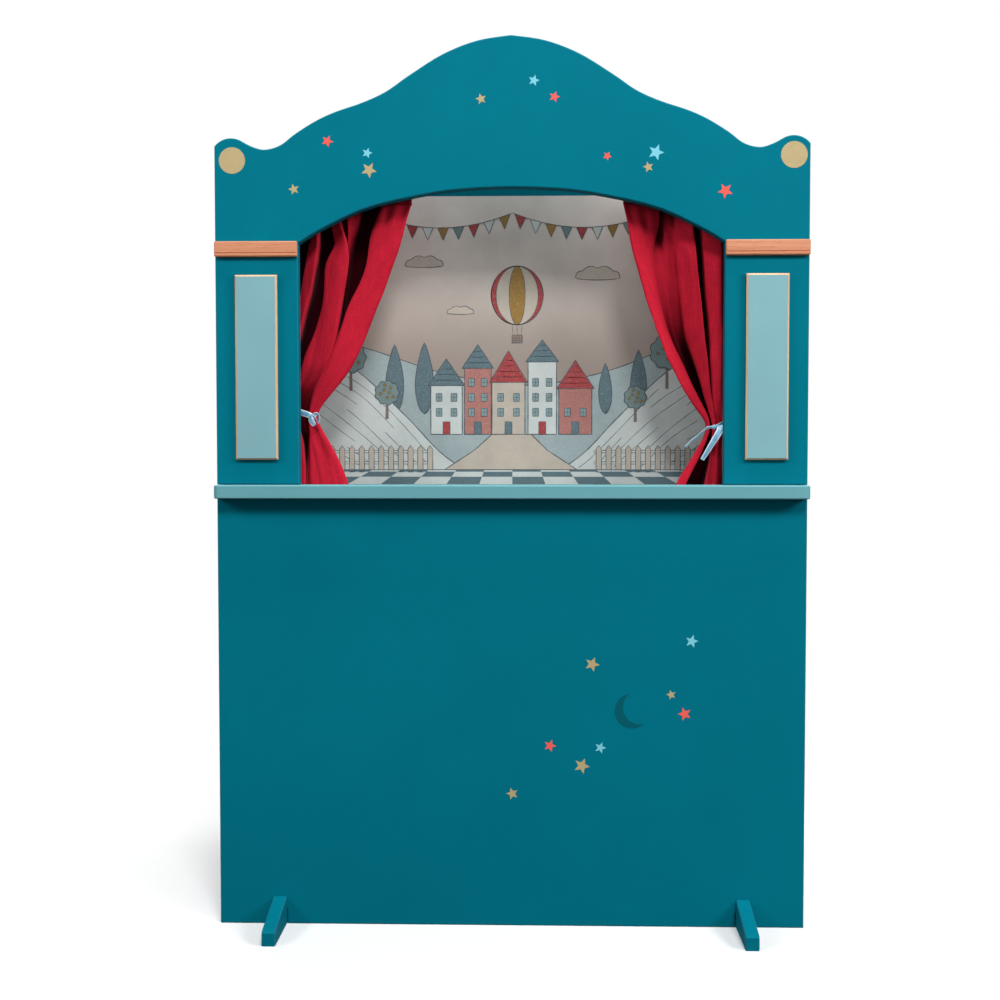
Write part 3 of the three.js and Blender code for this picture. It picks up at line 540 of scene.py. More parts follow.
def screw_shape(radius, length, recess):
    """A turned screw along +Z with its head's flat at zero: rings of points at a radius and a
    depth, a cross sunk into the head by the product of a bar's smooth edges, and a shank whose
    radius follows a helix for its thread."""
    head, shank = radius * SCREW_HEAD_SHARE, radius * SCREW_SHANK_SHARE
    flat = np.linspace(0.001, 1, 14) * radius
    cone, tip = np.linspace(0, 1, 4)[1:], np.linspace(0, 1, 5)[1:]
    thread = np.linspace(head, length - 2 * shank, 70)[1:]
    radii = np.concatenate([flat, radius + (shank - radius) * cone, np.full(thread.size, shank),
                            shank * (1 - 0.995 * tip)])
    depths = np.concatenate([np.zeros(flat.size), head * cone, thread, length - 2 * shank * (1 - tip)])
    ring, angle = np.meshgrid(radii, full_turn(SCREW_TURN_POINTS), indexing="ij")
    depth = np.repeat(depths[:, None], angle.shape[1], axis=1)
    across, up = np.abs(ring * np.cos(angle)), np.abs(ring * np.sin(angle))
    bar, reach = CROSS_BAR_SHARE * radius, CROSS_REACH_SHARE * radius
    sunk = ((1 - smooth_step(np.minimum(across, up), bar, 1.6 * bar))
            * (1 - smooth_step(np.maximum(across, up), 0.8 * reach, reach)))
    depth = depth + np.where(depth < head * 0.01, recess * sunk, 0)
    turns = 2 * math.pi * depth / (SCREW_PITCH_SHARE * shank)
    groove = THREAD_DEPTH_SHARE * shank * np.cos(turns + angle)
    on_shank = (depth > head * 1.5) & (depth < length - 2.2 * shank)
    ring = ring + np.where(on_shank, groove, 0)
    return ring * np.cos(angle), ring * np.sin(angle), depth


def place_screw(name, towards, settings, material):
    """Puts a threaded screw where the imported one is, its head at the end away from its tip."""
    low, high = (np.array(corner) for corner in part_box(name))
    across, up, depth = screw_shape((high[1] - low[1]) / 2, high[0] - low[0], settings.recess)
    middle = (low + high) / 2
    head = low[0] if towards > 0 else high[0]
    points = np.stack([head + towards * depth, middle[1] + across, middle[2] + towards * up], axis=-1)
    rings, columns = depth.shape
    ends = np.arange(rings * columns).reshape(rings, columns)[[0, -1]].tolist()
    faces = grid_faces(rings, columns, closed=True, flipped=True) + [ends[0], ends[1][::-1]]
    made = make_mesh(name + "_threaded", points, faces, material)
    made.data.set_sharp_from_angle(angle=math.radians(40))
    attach(made, "root")
    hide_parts(name)


# Curtains

# Each fold is followed down its cloth by height. All numbers are thousandths. A height is a share of
# the drop, from the seam down to zero at the hem. First come the fold's edges, as shares of half the
# opening, the one nearer the wing first. Then its stand: how far those two edges come forward, as
# shares of the ridge depth. Then the valley after it, which goes back by a share of the valley
# depth. Folds are listed from the wing to the leading edge.


def outermost_fold(waist):
    """The fold that the post hides, drawn in at the height of the waist."""
    return (((1000, 1275, 1215), (500, 1230, 1185), (waist, 1130, 1115), (0, 1190, 1160)),
            ((1000, 400, 500), (waist, 200, 300), (0, 400, 500)),
            ((1000, 700), (waist, 300), (0, 700)))


LEFT_FOLDS = (
    outermost_fold(290),
    (((1000, 1165, 1080), (500, 1150, 1100), (290, 1105, 1080), (0, 1150, 1110)),
     ((1000, 600, 700), (290, 300, 400), (0, 500, 600)),
     ((1000, 1000), (290, 350), (0, 900))),
    (((1000, 975, 930), (900, 955, 918), (820, 982, 926), (710, 1008, 957), (630, 1030, 990),
      (500, 1060, 1030), (360, 1075, 1050), (290, 1065, 1040), (200, 1050, 1000), (100, 1060, 985),
      (0, 1080, 990)),
     ((1000, 350, 850), (600, 350, 900), (360, 200, 500), (290, 300, 450), (200, 500, 900),
      (0, 600, 1000)),
     ((1000, 1000), (600, 1000), (400, 900), (290, 600), (200, 700), (0, 900))),
    (((1000, 868, 826), (930, 860, 808), (900, 848, 792), (866, 832, 778), (840, 866, 775),
      (800, 892, 777), (700, 897, 801), (640, 910, 812), (590, 930, 826), (540, 957, 840),
      (490, 992, 862), (440, 1010, 894), (390, 1030, 935), (350, 1035, 966), (290, 1030, 980),
      (200, 990, 975), (0, 985, 970)),
     ((1000, 500, 750), (920, 500, 950), (800, 450, 950), (600, 500, 1050), (440, 400, 800),
      (390, 0, 200), (350, -600, -550), (270, -750, -750), (200, -600, -600), (80, 100, 200),
      (0, 500, 600)),
     ((1000, 350), (950, 400), (880, 700), (800, 1000), (400, 950), (290, 800), (200, 700), (0, 500))),
    (((1000, 800, 720), (930, 780, 738), (880, 785, 765), (800, 790, 775), (600, 820, 814),
      (440, 896, 890), (290, 974, 970), (0, 974, 966)),
     ((1000, 450, 100), (930, 400, -200), (880, 100, -500), (820, -500, -900), (500, -700, -750),
      (290, -650, -650), (0, -500, -500)),
     ((1000, 800), (900, 1050), (500, 1000), (380, 800), (290, 700), (200, 600), (0, 500))),
    (((1000, 612, 475), (965, 635, 490), (920, 662, 505), (870, 678, 526), (825, 684, 546),
      (780, 697, 570), (730, 726, 593), (690, 756, 613), (640, 790, 645), (590, 812, 670),
      (540, 838, 698), (490, 867, 731), (440, 898, 769), (390, 936, 825), (350, 955, 874),
      (320, 966, 910), (290, 972, 938), (260, 972, 930), (235, 970, 908), (180, 968, 862),
      (126, 969, 824), (70, 968, 793), (0, 965, 760)),
     ((1000, 650, 850), (870, 550, 950), (800, 600, 1000), (500, 700, 1000), (350, 550, 750),
      (290, 450, 500), (200, 700, 650), (0, 1000, 700))),
)
RIGHT_FOLDS = (
    outermost_fold(250),
    (((1000, 1165, 1090), (500, 1150, 1090), (250, 1100, 1075), (0, 1150, 1110)),
     ((1000, 500, 600), (250, 300, 400), (0, 500, 600)),
     ((1000, 900), (250, 300), (0, 800))),
    (((1000, 970, 885), (900, 990, 900), (840, 1000, 908), (700, 1000, 921), (540, 1002, 943),
      (400, 1005, 954), (300, 1015, 965), (250, 1030, 985), (170, 1030, 970), (0, 1035, 965)),
     ((1000, 1000, 700), (800, 1150, 800), (400, 1100, 700), (250, 500, 400), (150, 250, 500),
      (0, 100, 600)),
     ((1000, 1000), (500, 950), (380, 600), (250, 100), (200, -400), (0, -600))),
    (((1000, 850, 790), (920, 862, 775), (840, 871, 782), (700, 893, 805), (620, 905, 820),
      (540, 919, 840), (470, 934, 877), (400, 944, 906), (340, 953, 926), (250, 980, 966),
      (170, 965, 955), (120, 955, 945), (0, 950, 914)),
     ((1000, 1000, 300), (880, 1200, 500), (800, 1250, 350), (600, 1200, 200), (450, 1000, 200),
      (300, 700, 350), (250, 450, 400), (150, 500, 700), (0, 600, 900)),
     ((1000, 300), (930, 100), (880, -100), (800, 50), (700, 150), (600, 300), (500, 750), (380, 900),
      (300, 600), (250, 400), (170, 900), (0, 1100))),
    (((1000, 725, 710), (950, 725, 710), (700, 750, 735), (580, 775, 760), (470, 830, 820),
      (340, 905, 900), (250, 955, 950), (170, 925, 920), (0, 845, 840)),
     ((1000, -550, -900), (940, -400, -900), (890, -200, -500), (840, -50, -150), (700, -100, -100),
      (580, -300, -400), (400, -800, -850), (250, 100, 100), (170, -700, -800), (0, -900, -1000)),
     ((1000, 900), (930, 850), (880, 450), (840, 100), (700, 100), (580, 400), (400, 900), (250, 300),
      (170, 800), (0, 1000))),
    (((1000, 702, 530), (930, 705, 555), (890, 690, 563), (850, 675, 573), (780, 682, 600),
      (700, 702, 632), (620, 730, 670), (580, 745, 690), (520, 782, 722), (470, 815, 750),
      (400, 857, 800), (350, 892, 840), (300, 930, 890), (250, 955, 946), (210, 940, 924),
      (180, 920, 896), (126, 887, 853), (70, 845, 800), (0, 800, 765)),
     ((1000, 300, 650), (900, 100, 700), (840, -100, 700), (700, -150, 700), (500, -100, 700),
      (350, 200, 600), (250, 450, 450), (170, 600, 500), (0, 800, 600))),
)
FOLDS = {"left": LEFT_FOLDS, "right": RIGHT_FOLDS}

# A fold's section between its edges: shares of its breadth, and of how much it swells forward
FOLD_SWELL = ((0, 0), (0.14, 0.7), (0.5, 1), (0.87, 0.75), (1, 0))
BULGE_SHARE = 0.22
VALLEY_FOOT_SHARE = 0.25
UNDERCUT_SHARE = 0.012
LEADING_CURL = 4 * MM
SMOOTH_POINTS = 900
SECTION_POINTS = 240
DROP_ROWS = 160
KNOT_PASSES = 16
ACROSS_PASSES = 3
DOWN_PASSES = 5
WAIST_SHARES = {"left": 0.287, "right": 0.252}
WAIST_REACH_SHARE = 0.15
# Cells up the cloth and across it, and the seed: long creases, short ones, and the waist's fan
CREASES = (((6, 70), 11), ((22, 46), 23), ((4, 96), 35))
TALL_SHARE = 0.8
SHORT_SHARE = 0.7
FAN_SHARE = 1.2
SIDEWAYS_SHARE = 0.5
GATHERS = 27
GATHER_DEPTH = 2.0 * MM
GATHER_REACH_SHARE = 0.09
SEAM_GATHER_SHARE = 0.8
POCKET_ROWS = 44
POCKET_GAP = 1.4 * MM
POCKET_TURN_SHARE = 0.85
POCKET_FOOT_SHARE = 0.35
POCKET_LAYERS = 3


def followed(knots, heights):
    """Values given at a few heights, as smooth lines over all heights: one column for each value."""
    table = np.array(knots) / 1000
    table = table[np.argsort(table[:, 0])]
    lines = [soften(np.interp(heights, table[:, 0], values), KNOT_PASSES) for values in table.T[1:]]
    return np.stack(lines, axis=1)


def round_through(points, count):
    """A smooth line through each row's points: the cubic that leaves each point along the line from
    the point before it to the point after it."""
    before = np.concatenate([2 * points[:, :1] - points[:, 1:2], points[:, :-1]], axis=1)
    after = np.concatenate([points[:, 1:], 2 * points[:, -1:] - points[:, -2:-1]], axis=1)
    leave = (after - before) / 2
    share = np.linspace(0, points.shape[1] - 1, count)
    step = np.minimum(share.astype(int), points.shape[1] - 2)
    t = share - step
    start, end = points[:, step], points[:, step + 1]
    return ((2 * t ** 3 - 3 * t ** 2 + 1) * start + (t ** 3 - 2 * t ** 2 + t) * leave[:, step]
            + (3 * t ** 2 - 2 * t ** 3) * end + (t ** 3 - t ** 2) * leave[:, step + 1])


def section_corners(folds, heights, settings, opening, rod_line):
    """Corners of the cloth's section at each height, as places across and depths. A fold has its two
    edges and three swelled points between them. A valley's two corners lie a little under the folds
    beside it. The last corner is the leading edge, turned back."""
    across, depth = [], []
    edges = [followed(fold[0], heights) for fold in folds]
    for index, fold in enumerate(folds):
        (outer, inner), (near, far) = edges[index].T, followed(fold[1], heights).T
        swell = BULGE_SHARE * np.clip((near + far) / 2, 0.1, 1)
        for share, lift in FOLD_SWELL:
            across.append(outer + (inner - outer) * share)
            depth.append(near + (far - near) * share + lift * swell)
        if index + 1 < len(folds):
            back = -followed(fold[2], heights)[:, 0]
            after = edges[index + 1][:, 0]
            gap = np.clip(inner - after, 0, 1)
            foot = VALLEY_FOOT_SHARE * gap
            across += [inner - foot + UNDERCUT_SHARE, after + foot - UNDERCUT_SHARE]
            depth += [back, back]
    across.append(across[-1] + UNDERCUT_SHARE / 3)
    depth.append(depth[-1] - LEADING_CURL / settings.ridge)
    across, depth = np.stack(across, axis=1) * opening, np.stack(depth, axis=1)
    return across, rod_line - np.where(depth > 0, depth * settings.ridge, depth * settings.valley)


def even_points(across, depth, count):
    """Points spread evenly along each row's line, and the median of the rows' lengths."""
    steps = np.hypot(np.diff(across, axis=1), np.diff(depth, axis=1))
    length = np.concatenate([np.zeros((len(steps), 1)), np.cumsum(steps, axis=1)], axis=1)
    share = np.linspace(0, 1, count)
    spread = [np.array([np.interp(share * along[-1], along, row) for along, row in zip(length, rows)])
              for rows in (across, depth)]
    return *spread, float(np.median(length[:, -1]))


def creases(shape, cells, seed):
    """Smooth seeded unevenness between -1 and 1: coarse random values, joined by softened lines."""
    coarse = np.random.default_rng(seed).uniform(-1, 1, cells)
    rows, columns = (np.linspace(0, cell - 1, size) for cell, size in zip(cells, shape))
    tall = np.stack([np.interp(rows, np.arange(cells[0]), line) for line in coarse.T], axis=1)
    wide = np.stack([np.interp(columns, np.arange(cells[1]), line) for line in tall])
    passes = [max(2, int((size / cell) ** 2 / 6)) for size, cell in zip(shape, cells)]
    return soften(soften(wide, passes[0], 0), passes[1], 1)


def curtain_points(word, side, settings):
    """The whole cloth as one grid, from its hem up to its seam, over the rod and down behind to the
    seam again. The drop is the folded section at each height, with fine creases that gather at the
    waist. The pocket turns it into even gathers on the rod, a ripple along the rod whose depth
    fades towards the seam."""
    (_, _, hem), (_, _, seam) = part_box(f"{word}_curtain_drop")
    rod_low, rod_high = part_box("curtain_rod")
    opening = min(abs(corner.x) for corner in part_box(f"{word}_post"))
    rod_line, rod_level = (rod_low.y + rod_high.y) / 2, (rod_low.z + rod_high.z) / 2
    heights = np.linspace(0, 1, DROP_ROWS)
    corners = section_corners(FOLDS[word], heights, settings, opening, rod_line)
    x, y, width = even_points(*(round_through(rows, SMOOTH_POINTS) for rows in corners), SECTION_POINTS)
    x, y = (soften(soften(places, ACROSS_PASSES, 1), DOWN_PASSES, 0) for places in (x, y))
    share = np.linspace(0, 1, SECTION_POINTS)[None, :]
    waves = np.sin(2 * math.pi * GATHERS * share)
    near_waist = np.exp(-((heights - WAIST_SHARES[word])[:, None] / WAIST_REACH_SHARE) ** 2)
    near_seam = np.exp(-((1 - heights) / GATHER_REACH_SHARE) ** 2)[:, None]
    tall, short, fan = (creases(x.shape, cells, seed + side) for cells, seed in CREASES)
    y = y + settings.crease * (TALL_SHARE * tall + SHORT_SHARE * short + FAN_SHARE * fan * near_waist)
    x = x + settings.crease * SIDEWAYS_SHARE * short
    y = y + SEAM_GATHER_SHARE * GATHER_DEPTH * near_seam * waves

    reach = (rod_high.z - rod_low.z) / 2 + POCKET_GAP
    climb, half_turn = rod_level - seam, math.pi * reach
    path = np.linspace(0, 1, POCKET_ROWS)[1:, None] * (2 * climb + half_turn)
    over = np.clip((path - climb) / reach, 0, math.pi)
    down = np.clip(path - climb - half_turn, 0, climb)
    from_seam = np.minimum(path, 2 * climb + half_turn - path)
    on_rod = smooth_step(from_seam, 0, climb * POCKET_TURN_SHARE)
    ripple = POCKET_FOOT_SHARE + (1 - POCKET_FOOT_SHARE) * on_rod
    ring = reach + GATHER_DEPTH * (0.5 + 0.5 * waves) * ripple
    level = seam + np.clip(path, 0, climb) - down + ring * np.sin(over)
    behind = smooth_step(path, climb, climb + half_turn)
    fold = y[-1] + behind * POCKET_LAYERS * settings.thickness
    pocket_y = fold + (rod_line - ring * np.cos(over) - fold) * on_rod
    ends = sorted(abs(corner.x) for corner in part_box(f"{word}_curtain_heading"))
    pocket_x = x[-1] + (ends[1] + (ends[0] - ends[1]) * share - x[-1]) * on_rod
    rise = (seam - hem) * heights
    z = np.broadcast_to((hem + rise)[:, None], x.shape)
    points = np.stack([side * np.concatenate([x, pocket_x]), np.concatenate([y, pocket_y]),
                       np.concatenate([z, level])], axis=-1)
    return points, np.concatenate([rise, rise[-1] + path[:, 0]]), width


def make_curtain(word, side, settings):
    """One curtain with its thickness, its map and its depth for the painted shade in its valleys. It
    is held by the stand up to its waist and by its heading at the seam."""
    points, along, width = curtain_points(word, side, settings)
    rows, columns = points.shape[:2]
    material = curtain_cloth(f"{word}_curtain_cloth", settings, along[DROP_ROWS - 1])
    made = make_mesh(f"{word}_curtain", points, grid_faces(rows, columns, flipped=side > 0), material)
    set_uv(made, np.linspace(0, width, columns)[None, :], along[:, None])
    rod_low, rod_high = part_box("curtain_rod")
    foremost = (rod_low.y + rod_high.y) / 2 - settings.ridge
    depth = (points[..., 1] - foremost) / (settings.ridge + settings.valley)
    shadow = made.data.attributes.new("fold_depth", "FLOAT", "POINT")
    shadow.data.foreach_set("value", np.clip(depth, 0, 1).astype(np.float32).ravel())
    thicken(made, settings.thickness)
    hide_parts(f"{word}_curtain_heading", f"{word}_curtain_drop")
    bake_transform(made)


# Ribbons

# Stations of each ribbon: across and up from the knot in shares of the ribbon's width, how far in
# front of the waist's own front, the lean of its breadth about its length in degrees, and its own
# breadth. Across is towards the stage's middle. Knots are in millimetres from that middle and from
# the floor.
KNOTS = {"left": (237.5, 608.8), "right": (242.2, 597.8)}
RIBBONS = {
    "left_ribbon": ((-6.0, 1.9, -1.7, 0, 1), (-4.0, 1.45, -0.9, 6, 1), (-2.4, 1.05, -0.2, 10, 1),
                    (-1.1, 0.66, 0.35, 0, 0.95), (-0.2, 0.3, 0.6, -20, 0.85)),
    "left_ribbon_loop": ((-0.1, 0.1, 0.8, -20, 0.7), (0.35, 0.6, 1.05, 10, 0.65),
                         (0.75, 0.68, 1.1, 45, 0.6), (1.0, 0.3, 1.0, 55, 0.5),
                         (0.96, -0.25, 0.9, 45, 0.5), (0.72, -0.75, 0.8, 20, 0.45)),
    "left_ribbon_fold": ((-0.55, 0.1, 0.85, 30, 0.6), (-0.1, 0.32, 0.95, 50, 0.7),
                         (0.3, 0.15, 0.9, 70, 0.6), (0.42, -0.3, 0.8, 40, 0.5)),
    "left_ribbon_tail": ((-0.4, 0.2, 1.0, 30, 0.8), (-0.25, -0.25, 1.25, 20, 0.95),
                         (0.0, -0.7, 1.25, 5, 0.85), (0.27, -1.15, 1.05, -10, 0.55)),
    "right_ribbon": ((-5.0, 1.4, -1.7, 0, 0.8), (-3.0, 1.1, -0.8, 0, 0.8), (-1.4, 0.6, 0.1, 0, 0.7),
                     (-0.5, 0.25, 0.6, 20, 0.5), (0.3, 0.0, 0.8, 35, 0.42), (1.2, 0.0, 0.6, 30, 0.4)),
    "right_ribbon_thin": ((0.1, 0.05, 0.8, 20, 0.42), (0.95, -0.05, 0.75, 30, 0.38),
                          (2.0, -0.85, 0.6, 30, 0.36), (3.1, -1.72, 0.5, 30, 0.36),
                          (3.8, -2.35, 0.5, 60, 0.4), (4.5, -3.1, 0.5, 30, 0.36)),
    "right_ribbon_tail": ((-0.95, 0.3, 0.7, -18, 1.05), (-0.95, -0.3, 1.15, -12, 1.1),
                          (-0.35, -1.35, 1.35, -6, 1.0), (0.35, -2.5, 1.3, 0, 0.9),
                          (1.1, -3.8, 1.1, 4, 0.78), (1.9, -5.15, 0.85, 8, 0.6)),
}
STRIP_STEPS = 14
STRIP_POINTS = 9
STRIP_CURL_SHARE = 0.07
LEAN_PASSES = 20
BREADTH_PASSES = 30
KNOT_SHARES = (0.52, 0.36, 0.42)
KNOT_STATION = (0, 0.05, 0.75)
WAIST_FRONT_SHARE = 0.6


def ribbon_strip(name, stations, settings, material):
    """A ribbon along a smooth path through stations, each a place, a lean and a breadth. Its breadth
    lies square to the path and to the audience's line of sight, turned about the path by the lean,
    and its middle is lifted a little."""
    path, leans, widths = np.split(np.array(stations, float), (3, 4), axis=1)
    knots = np.arange(len(path))
    steps = np.linspace(0, knots[-1], STRIP_STEPS * knots[-1] + 1)
    line = round_through(path.T, steps.size).T
    lean = np.radians(soften(np.interp(steps, knots, leans[:, 0]), LEAN_PASSES))[:, None]
    wide = soften(np.interp(steps, knots, widths[:, 0]), BREADTH_PASSES) * settings.width
    ahead = unit(np.gradient(line, axis=0))
    breadth = unit(np.cross(ahead, (0.0, -1.0, 0.0)))
    turned = np.cos(lean) * breadth + np.sin(lean) * np.cross(breadth, ahead)
    lifted = np.cross(turned, ahead)
    share = np.linspace(-1, 1, STRIP_POINTS)
    curl = STRIP_CURL_SHARE * (1 - share ** 2)
    points = line[:, None, :] + wide[:, None, None] * (
        turned[:, None, :] * share[None, :, None] / 2 + lifted[:, None, :] * curl[None, :, None])
    made = make_mesh(name, points, grid_faces(*points.shape[:2]), material)
    set_uv(made, (share * settings.width / 2)[None, :], run_along(line)[:, None])
    thicken(made, settings.thickness)
    return made


def ribbon_knot(name, middle, settings, material):
    """A small tied knot: a rounded lump, an ellipsoid whose surface is drawn in by two crossed
    grooves, each a cosine of the angle round its own axis."""
    turn = full_turn(48)[None, :]
    rise = np.linspace(0, math.pi, 26)[:, None]
    x, y, z = np.sin(rise) * np.cos(turn), np.sin(rise) * np.sin(turn), np.cos(rise) + 0 * turn
    groove = 1 - 0.16 * np.cos(5 * (z + 0.6 * x)) ** 2 - 0.1 * np.cos(4 * (x - 0.5 * z)) ** 2
    size = np.array(KNOT_SHARES) * settings.width
    points = np.stack([x, y, z], axis=-1) * groove[..., None] * size + np.array(middle)
    made = make_mesh(name, points, grid_faces(*points.shape[:2], closed=True), material)
    set_uv(made, 0.15 * settings.width * np.cos(turn), rise * settings.width)
    close_poles(made)
    return made


def close_poles(made):
    """Merges the doubled points at a surface's poles and turns its faces outwards."""
    shell = bmesh.new()
    shell.from_mesh(made.data)
    bmesh.ops.remove_doubles(shell, verts=shell.verts, dist=0.01 * MM)
    bmesh.ops.recalc_face_normals(shell, faces=shell.faces)
    shell.to_mesh(made.data)
    shell.free()


def tie_ribbon(word, side, settings, material):
    """One ribbon: its band, knot and tails are joined by name only, and all ride on the stand."""
    across, level = KNOTS[word]
    front, rear = (corner.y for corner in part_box(f"{word}_tie"))

    def place(over, up, ahead):
        y = min(front + (WAIST_FRONT_SHARE - ahead) * settings.width, rear)
        return (side * (across * MM - over * settings.width), y, level * MM + up * settings.width)

    pieces = []
    for name, plan in RIBBONS.items():
        if name.startswith(word):
            stations = [(*place(*station[:3]), side * station[3], station[4]) for station in plan]
            pieces.append(ribbon_strip(name, stations, settings, material))
    pieces.append(ribbon_knot(f"{word}_ribbon_knot", place(*KNOT_STATION), settings, material))
    for made in pieces:
        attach(made, "root")
    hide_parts(f"{word}_tie")


# Prints on the boards: place in millimetres from the stage's middle and the floor, breadth across
# the tips, and the turn of one tip from the horizontal in degrees
STARS = {
    "header": {
        "blue": ((27, 1003, 13, 2), (-169, 920, 12.4, 0), (170, 919, 18.5, -3)),
        "coral": ((51, 984, 12.7, 0), (-216, 934, 13.8, -8), (113, 915, 10.6, -12),
                  (251, 874, 17.6, -24)),
        "gold": ((-35, 982, 12.7, 32), (-167, 900, 18.3, -12), (-256, 878, 13, 33),
                 (161, 902, 12.4, 32)),
    },
    "lower_panel": {
        "blue": ((215, 344, 15.3, 3), (107, 216, 13.6, -2)),
        "coral": ((207, 257, 15.8, 36), (47, 218, 14.6, -2)),
        "gold": ((97, 316, 17.3, -4), (191, 280, 11.6, 33), (85, 194, 18.8, -5), (2, 160, 14.4, 35)),
    },
}
STAR_WAIST_SHARE = 0.44
DISC_PLACES = ((-329, 912), (331, 915.5))
DISC_DIAMETER = 31
# The moon and the circle that cuts it: place, which for the cut is from the moon's, and radius
MOON = (144.7, 260.2, 20.9)
MOON_CUT = (9.5, 4.5, 20.3)


def round_points(x, z, wide, high, angle):
    return np.stack([x + wide * np.cos(angle), z + high * np.sin(angle)], axis=1)


def ellipse(x, z, wide, high, count):
    return round_points(x, z, wide, high, full_turn(count))


def star_outline(x, z, breadth, turn):
    """Ten points on two circles, tips and waists in turn, with breadth the pentagon's diagonal."""
    radius = breadth / (2 * math.sin(math.radians(72)))
    angle = math.radians(turn) + np.arange(10) * math.pi / 5
    reach = np.where(np.arange(10) % 2 == 0, radius, radius * STAR_WAIST_SHARE)
    return round_points(x, z, reach, reach, angle) * MM


def moon_outline():
    """The outer circle's arc from one horn to the other, and the cutting circle's arc back."""
    x, z, radius = MOON
    cut_x, cut_z, cut_radius = MOON_CUT
    gap, lean = math.hypot(cut_x, cut_z), math.atan2(cut_z, cut_x)
    chord = (gap ** 2 + radius ** 2 - cut_radius ** 2) / (2 * gap)
    half, cut_half = math.acos(chord / radius), math.acos((chord - gap) / cut_radius)
    out = lean + np.linspace(half, 2 * math.pi - half, 48)
    back = lean + np.linspace(2 * math.pi - cut_half, cut_half, 40)[1:-1]
    outer = round_points(0, 0, radius, radius, out)
    inner = round_points(cut_x, cut_z, cut_radius, cut_radius, back)
    return (np.concatenate([outer, inner]) + (x, z)) * MM


def print_shapes(name, outlines, board, settings, material):
    """Ink of even thickness on a board's front face: each outline has a front and a rim."""
    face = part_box(board)[0].y
    points, faces, start = [], [], 0
    for outline in outlines:
        count = len(outline)
        depth = np.repeat([face - settings.lift, face + settings.lift / 4], count)
        points.append(np.stack([np.tile(outline[:, 0], 2), depth, np.tile(outline[:, 1], 2)], axis=1))
        ring = start + np.arange(count)
        after = np.roll(ring, -1)
        faces.append(ring.tolist())
        faces += np.stack([ring, count + ring, count + after, after], axis=1).tolist()
        start += 2 * count
    made = make_mesh(name, np.concatenate(points), faces, material, smooth=False)
    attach(made, "root")


# Backdrop drawing

PALETTE = {
    "stone": linear(204, 212, 209),
    "mist": linear(160, 176, 178),
    "sage": linear(116, 140, 140),
    "slate": linear(90, 114, 122),
    "glass": linear(128, 154, 158),
    "clay": linear(134, 114, 103),
    "cream": linear(192, 182, 168),
    "red": linear(164, 60, 62),
    "rose": linear(176, 118, 110),
    "gold": linear(152, 118, 54),
}
# Measures and counts in the drawing, in millimetres, then the colours of its stripes and pennants
HALF_WIDTH = 338
HILL_FOOT = 20
FURROW_FOOT = 48
SHORTEST_FURROW = 7
TILE_ROW = 7
WINDOW_ROW = 19
FIRST_WINDOW = 23
TREE_FRUIT = 7
PALE_STEP = 12.5
FURROW_STEP = 15
SQUARE_ROWS = 5
SQUARE_TILE = 52.0
SQUARE_MEET = 150.0
STRIPES = ("red", "cream", "gold", "cream", "red")
PENNANTS = ("red", "stone", "gold", "sage")


class Drawing:
    """Flat inked shapes on the front of the backdrop, in layers a hair apart. Places are in
    millimetres from the board's middle and its lower edge. Colours are named in the palette."""

    def __init__(self, settings):
        low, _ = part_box("backdrop")
        self.face, self.bottom = low.y, low.z
        self.settings = settings
        self.points, self.faces, self.colours, self.count = [], [], [], 0

    def put(self, outline, faces, colour, layer):
        flat = np.asarray(outline, float) * MM
        depth = np.full(len(flat), self.face - (layer + 1) * self.settings.layer)
        self.points.append(np.stack([flat[:, 0], depth, self.bottom + flat[:, 1]], axis=1))
        self.faces += (np.asarray(faces) + self.count).tolist()
        self.colours += [tuple(colour)] * len(faces)
        self.count += len(flat)

    def fill(self, outline, colour, layer):
        self.put(outline, [np.arange(len(outline))], PALETTE[colour], layer)

    def line(self, points, layer, width=1.1, closed=False):
        """A pen line: its width swells a little along it, and it is thinner at its ends."""
        points = np.array(points, float)
        if closed:
            points = np.concatenate([points, points[:2]])
        run = run_along(points)
        ahead = unit(np.gradient(points, axis=0))
        swell = 1 + 0.18 * np.sin(run / 7) + 0.1 * np.sin(run / 2.3)
        ends = np.ones_like(run) if closed else np.clip(np.minimum(run, run[-1] - run) / 3 + 0.45, 0, 1)
        half = (width / 2 * swell * ends)[:, None] * np.stack([-ahead[:, 1], ahead[:, 0]], axis=1)
        index, count = np.arange(len(points) - 1), len(points)
        quads = np.stack([index, index + 1, count + index + 1, count + index], axis=1)
        self.put(np.concatenate([points + half, points - half]), quads, self.settings.ink, layer)

    def shape(self, outline, colour, layer, width=1.1):
        self.fill(outline, colour, layer)
        self.line(outline, layer + 1, width, closed=True)

    def block(self, corners, colour, layer, width=1.1):
        """A shape with straight sides."""
        self.shape(dense(corners), colour, layer, width)

    def finish(self, name, material):
        made = make_mesh(name, np.concatenate(self.points), self.faces, material, smooth=False)
        sizes = np.zeros(len(self.faces), np.int32)
        made.data.polygons.foreach_get("loop_total", sizes)
        rgba = np.insert(np.array(self.colours), 3, 1, axis=1)
        layer = made.data.color_attributes.new("ink", "FLOAT_COLOR", "CORNER")
        layer.data.foreach_set("color", np.repeat(rgba, sizes, axis=0).astype(np.float32).ravel())
        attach(made, "backdrop")


def box_outline(x, z, width, height):
    left, right = x - width / 2, x + width / 2
    return [(left, z), (right, z), (right, z + height), (left, z + height)]


def dense(outline, step=2.0):
    """Points every couple of millimetres round a closed outline."""
    corners = np.array([*outline, outline[0]], float)
    parts = []
    for start, end in zip(corners[:-1], corners[1:]):
        count = max(1, int(np.linalg.norm(end - start) / step))
        parts.append(start + (end - start) * (np.arange(count)[:, None] / count))
    return np.concatenate(parts)


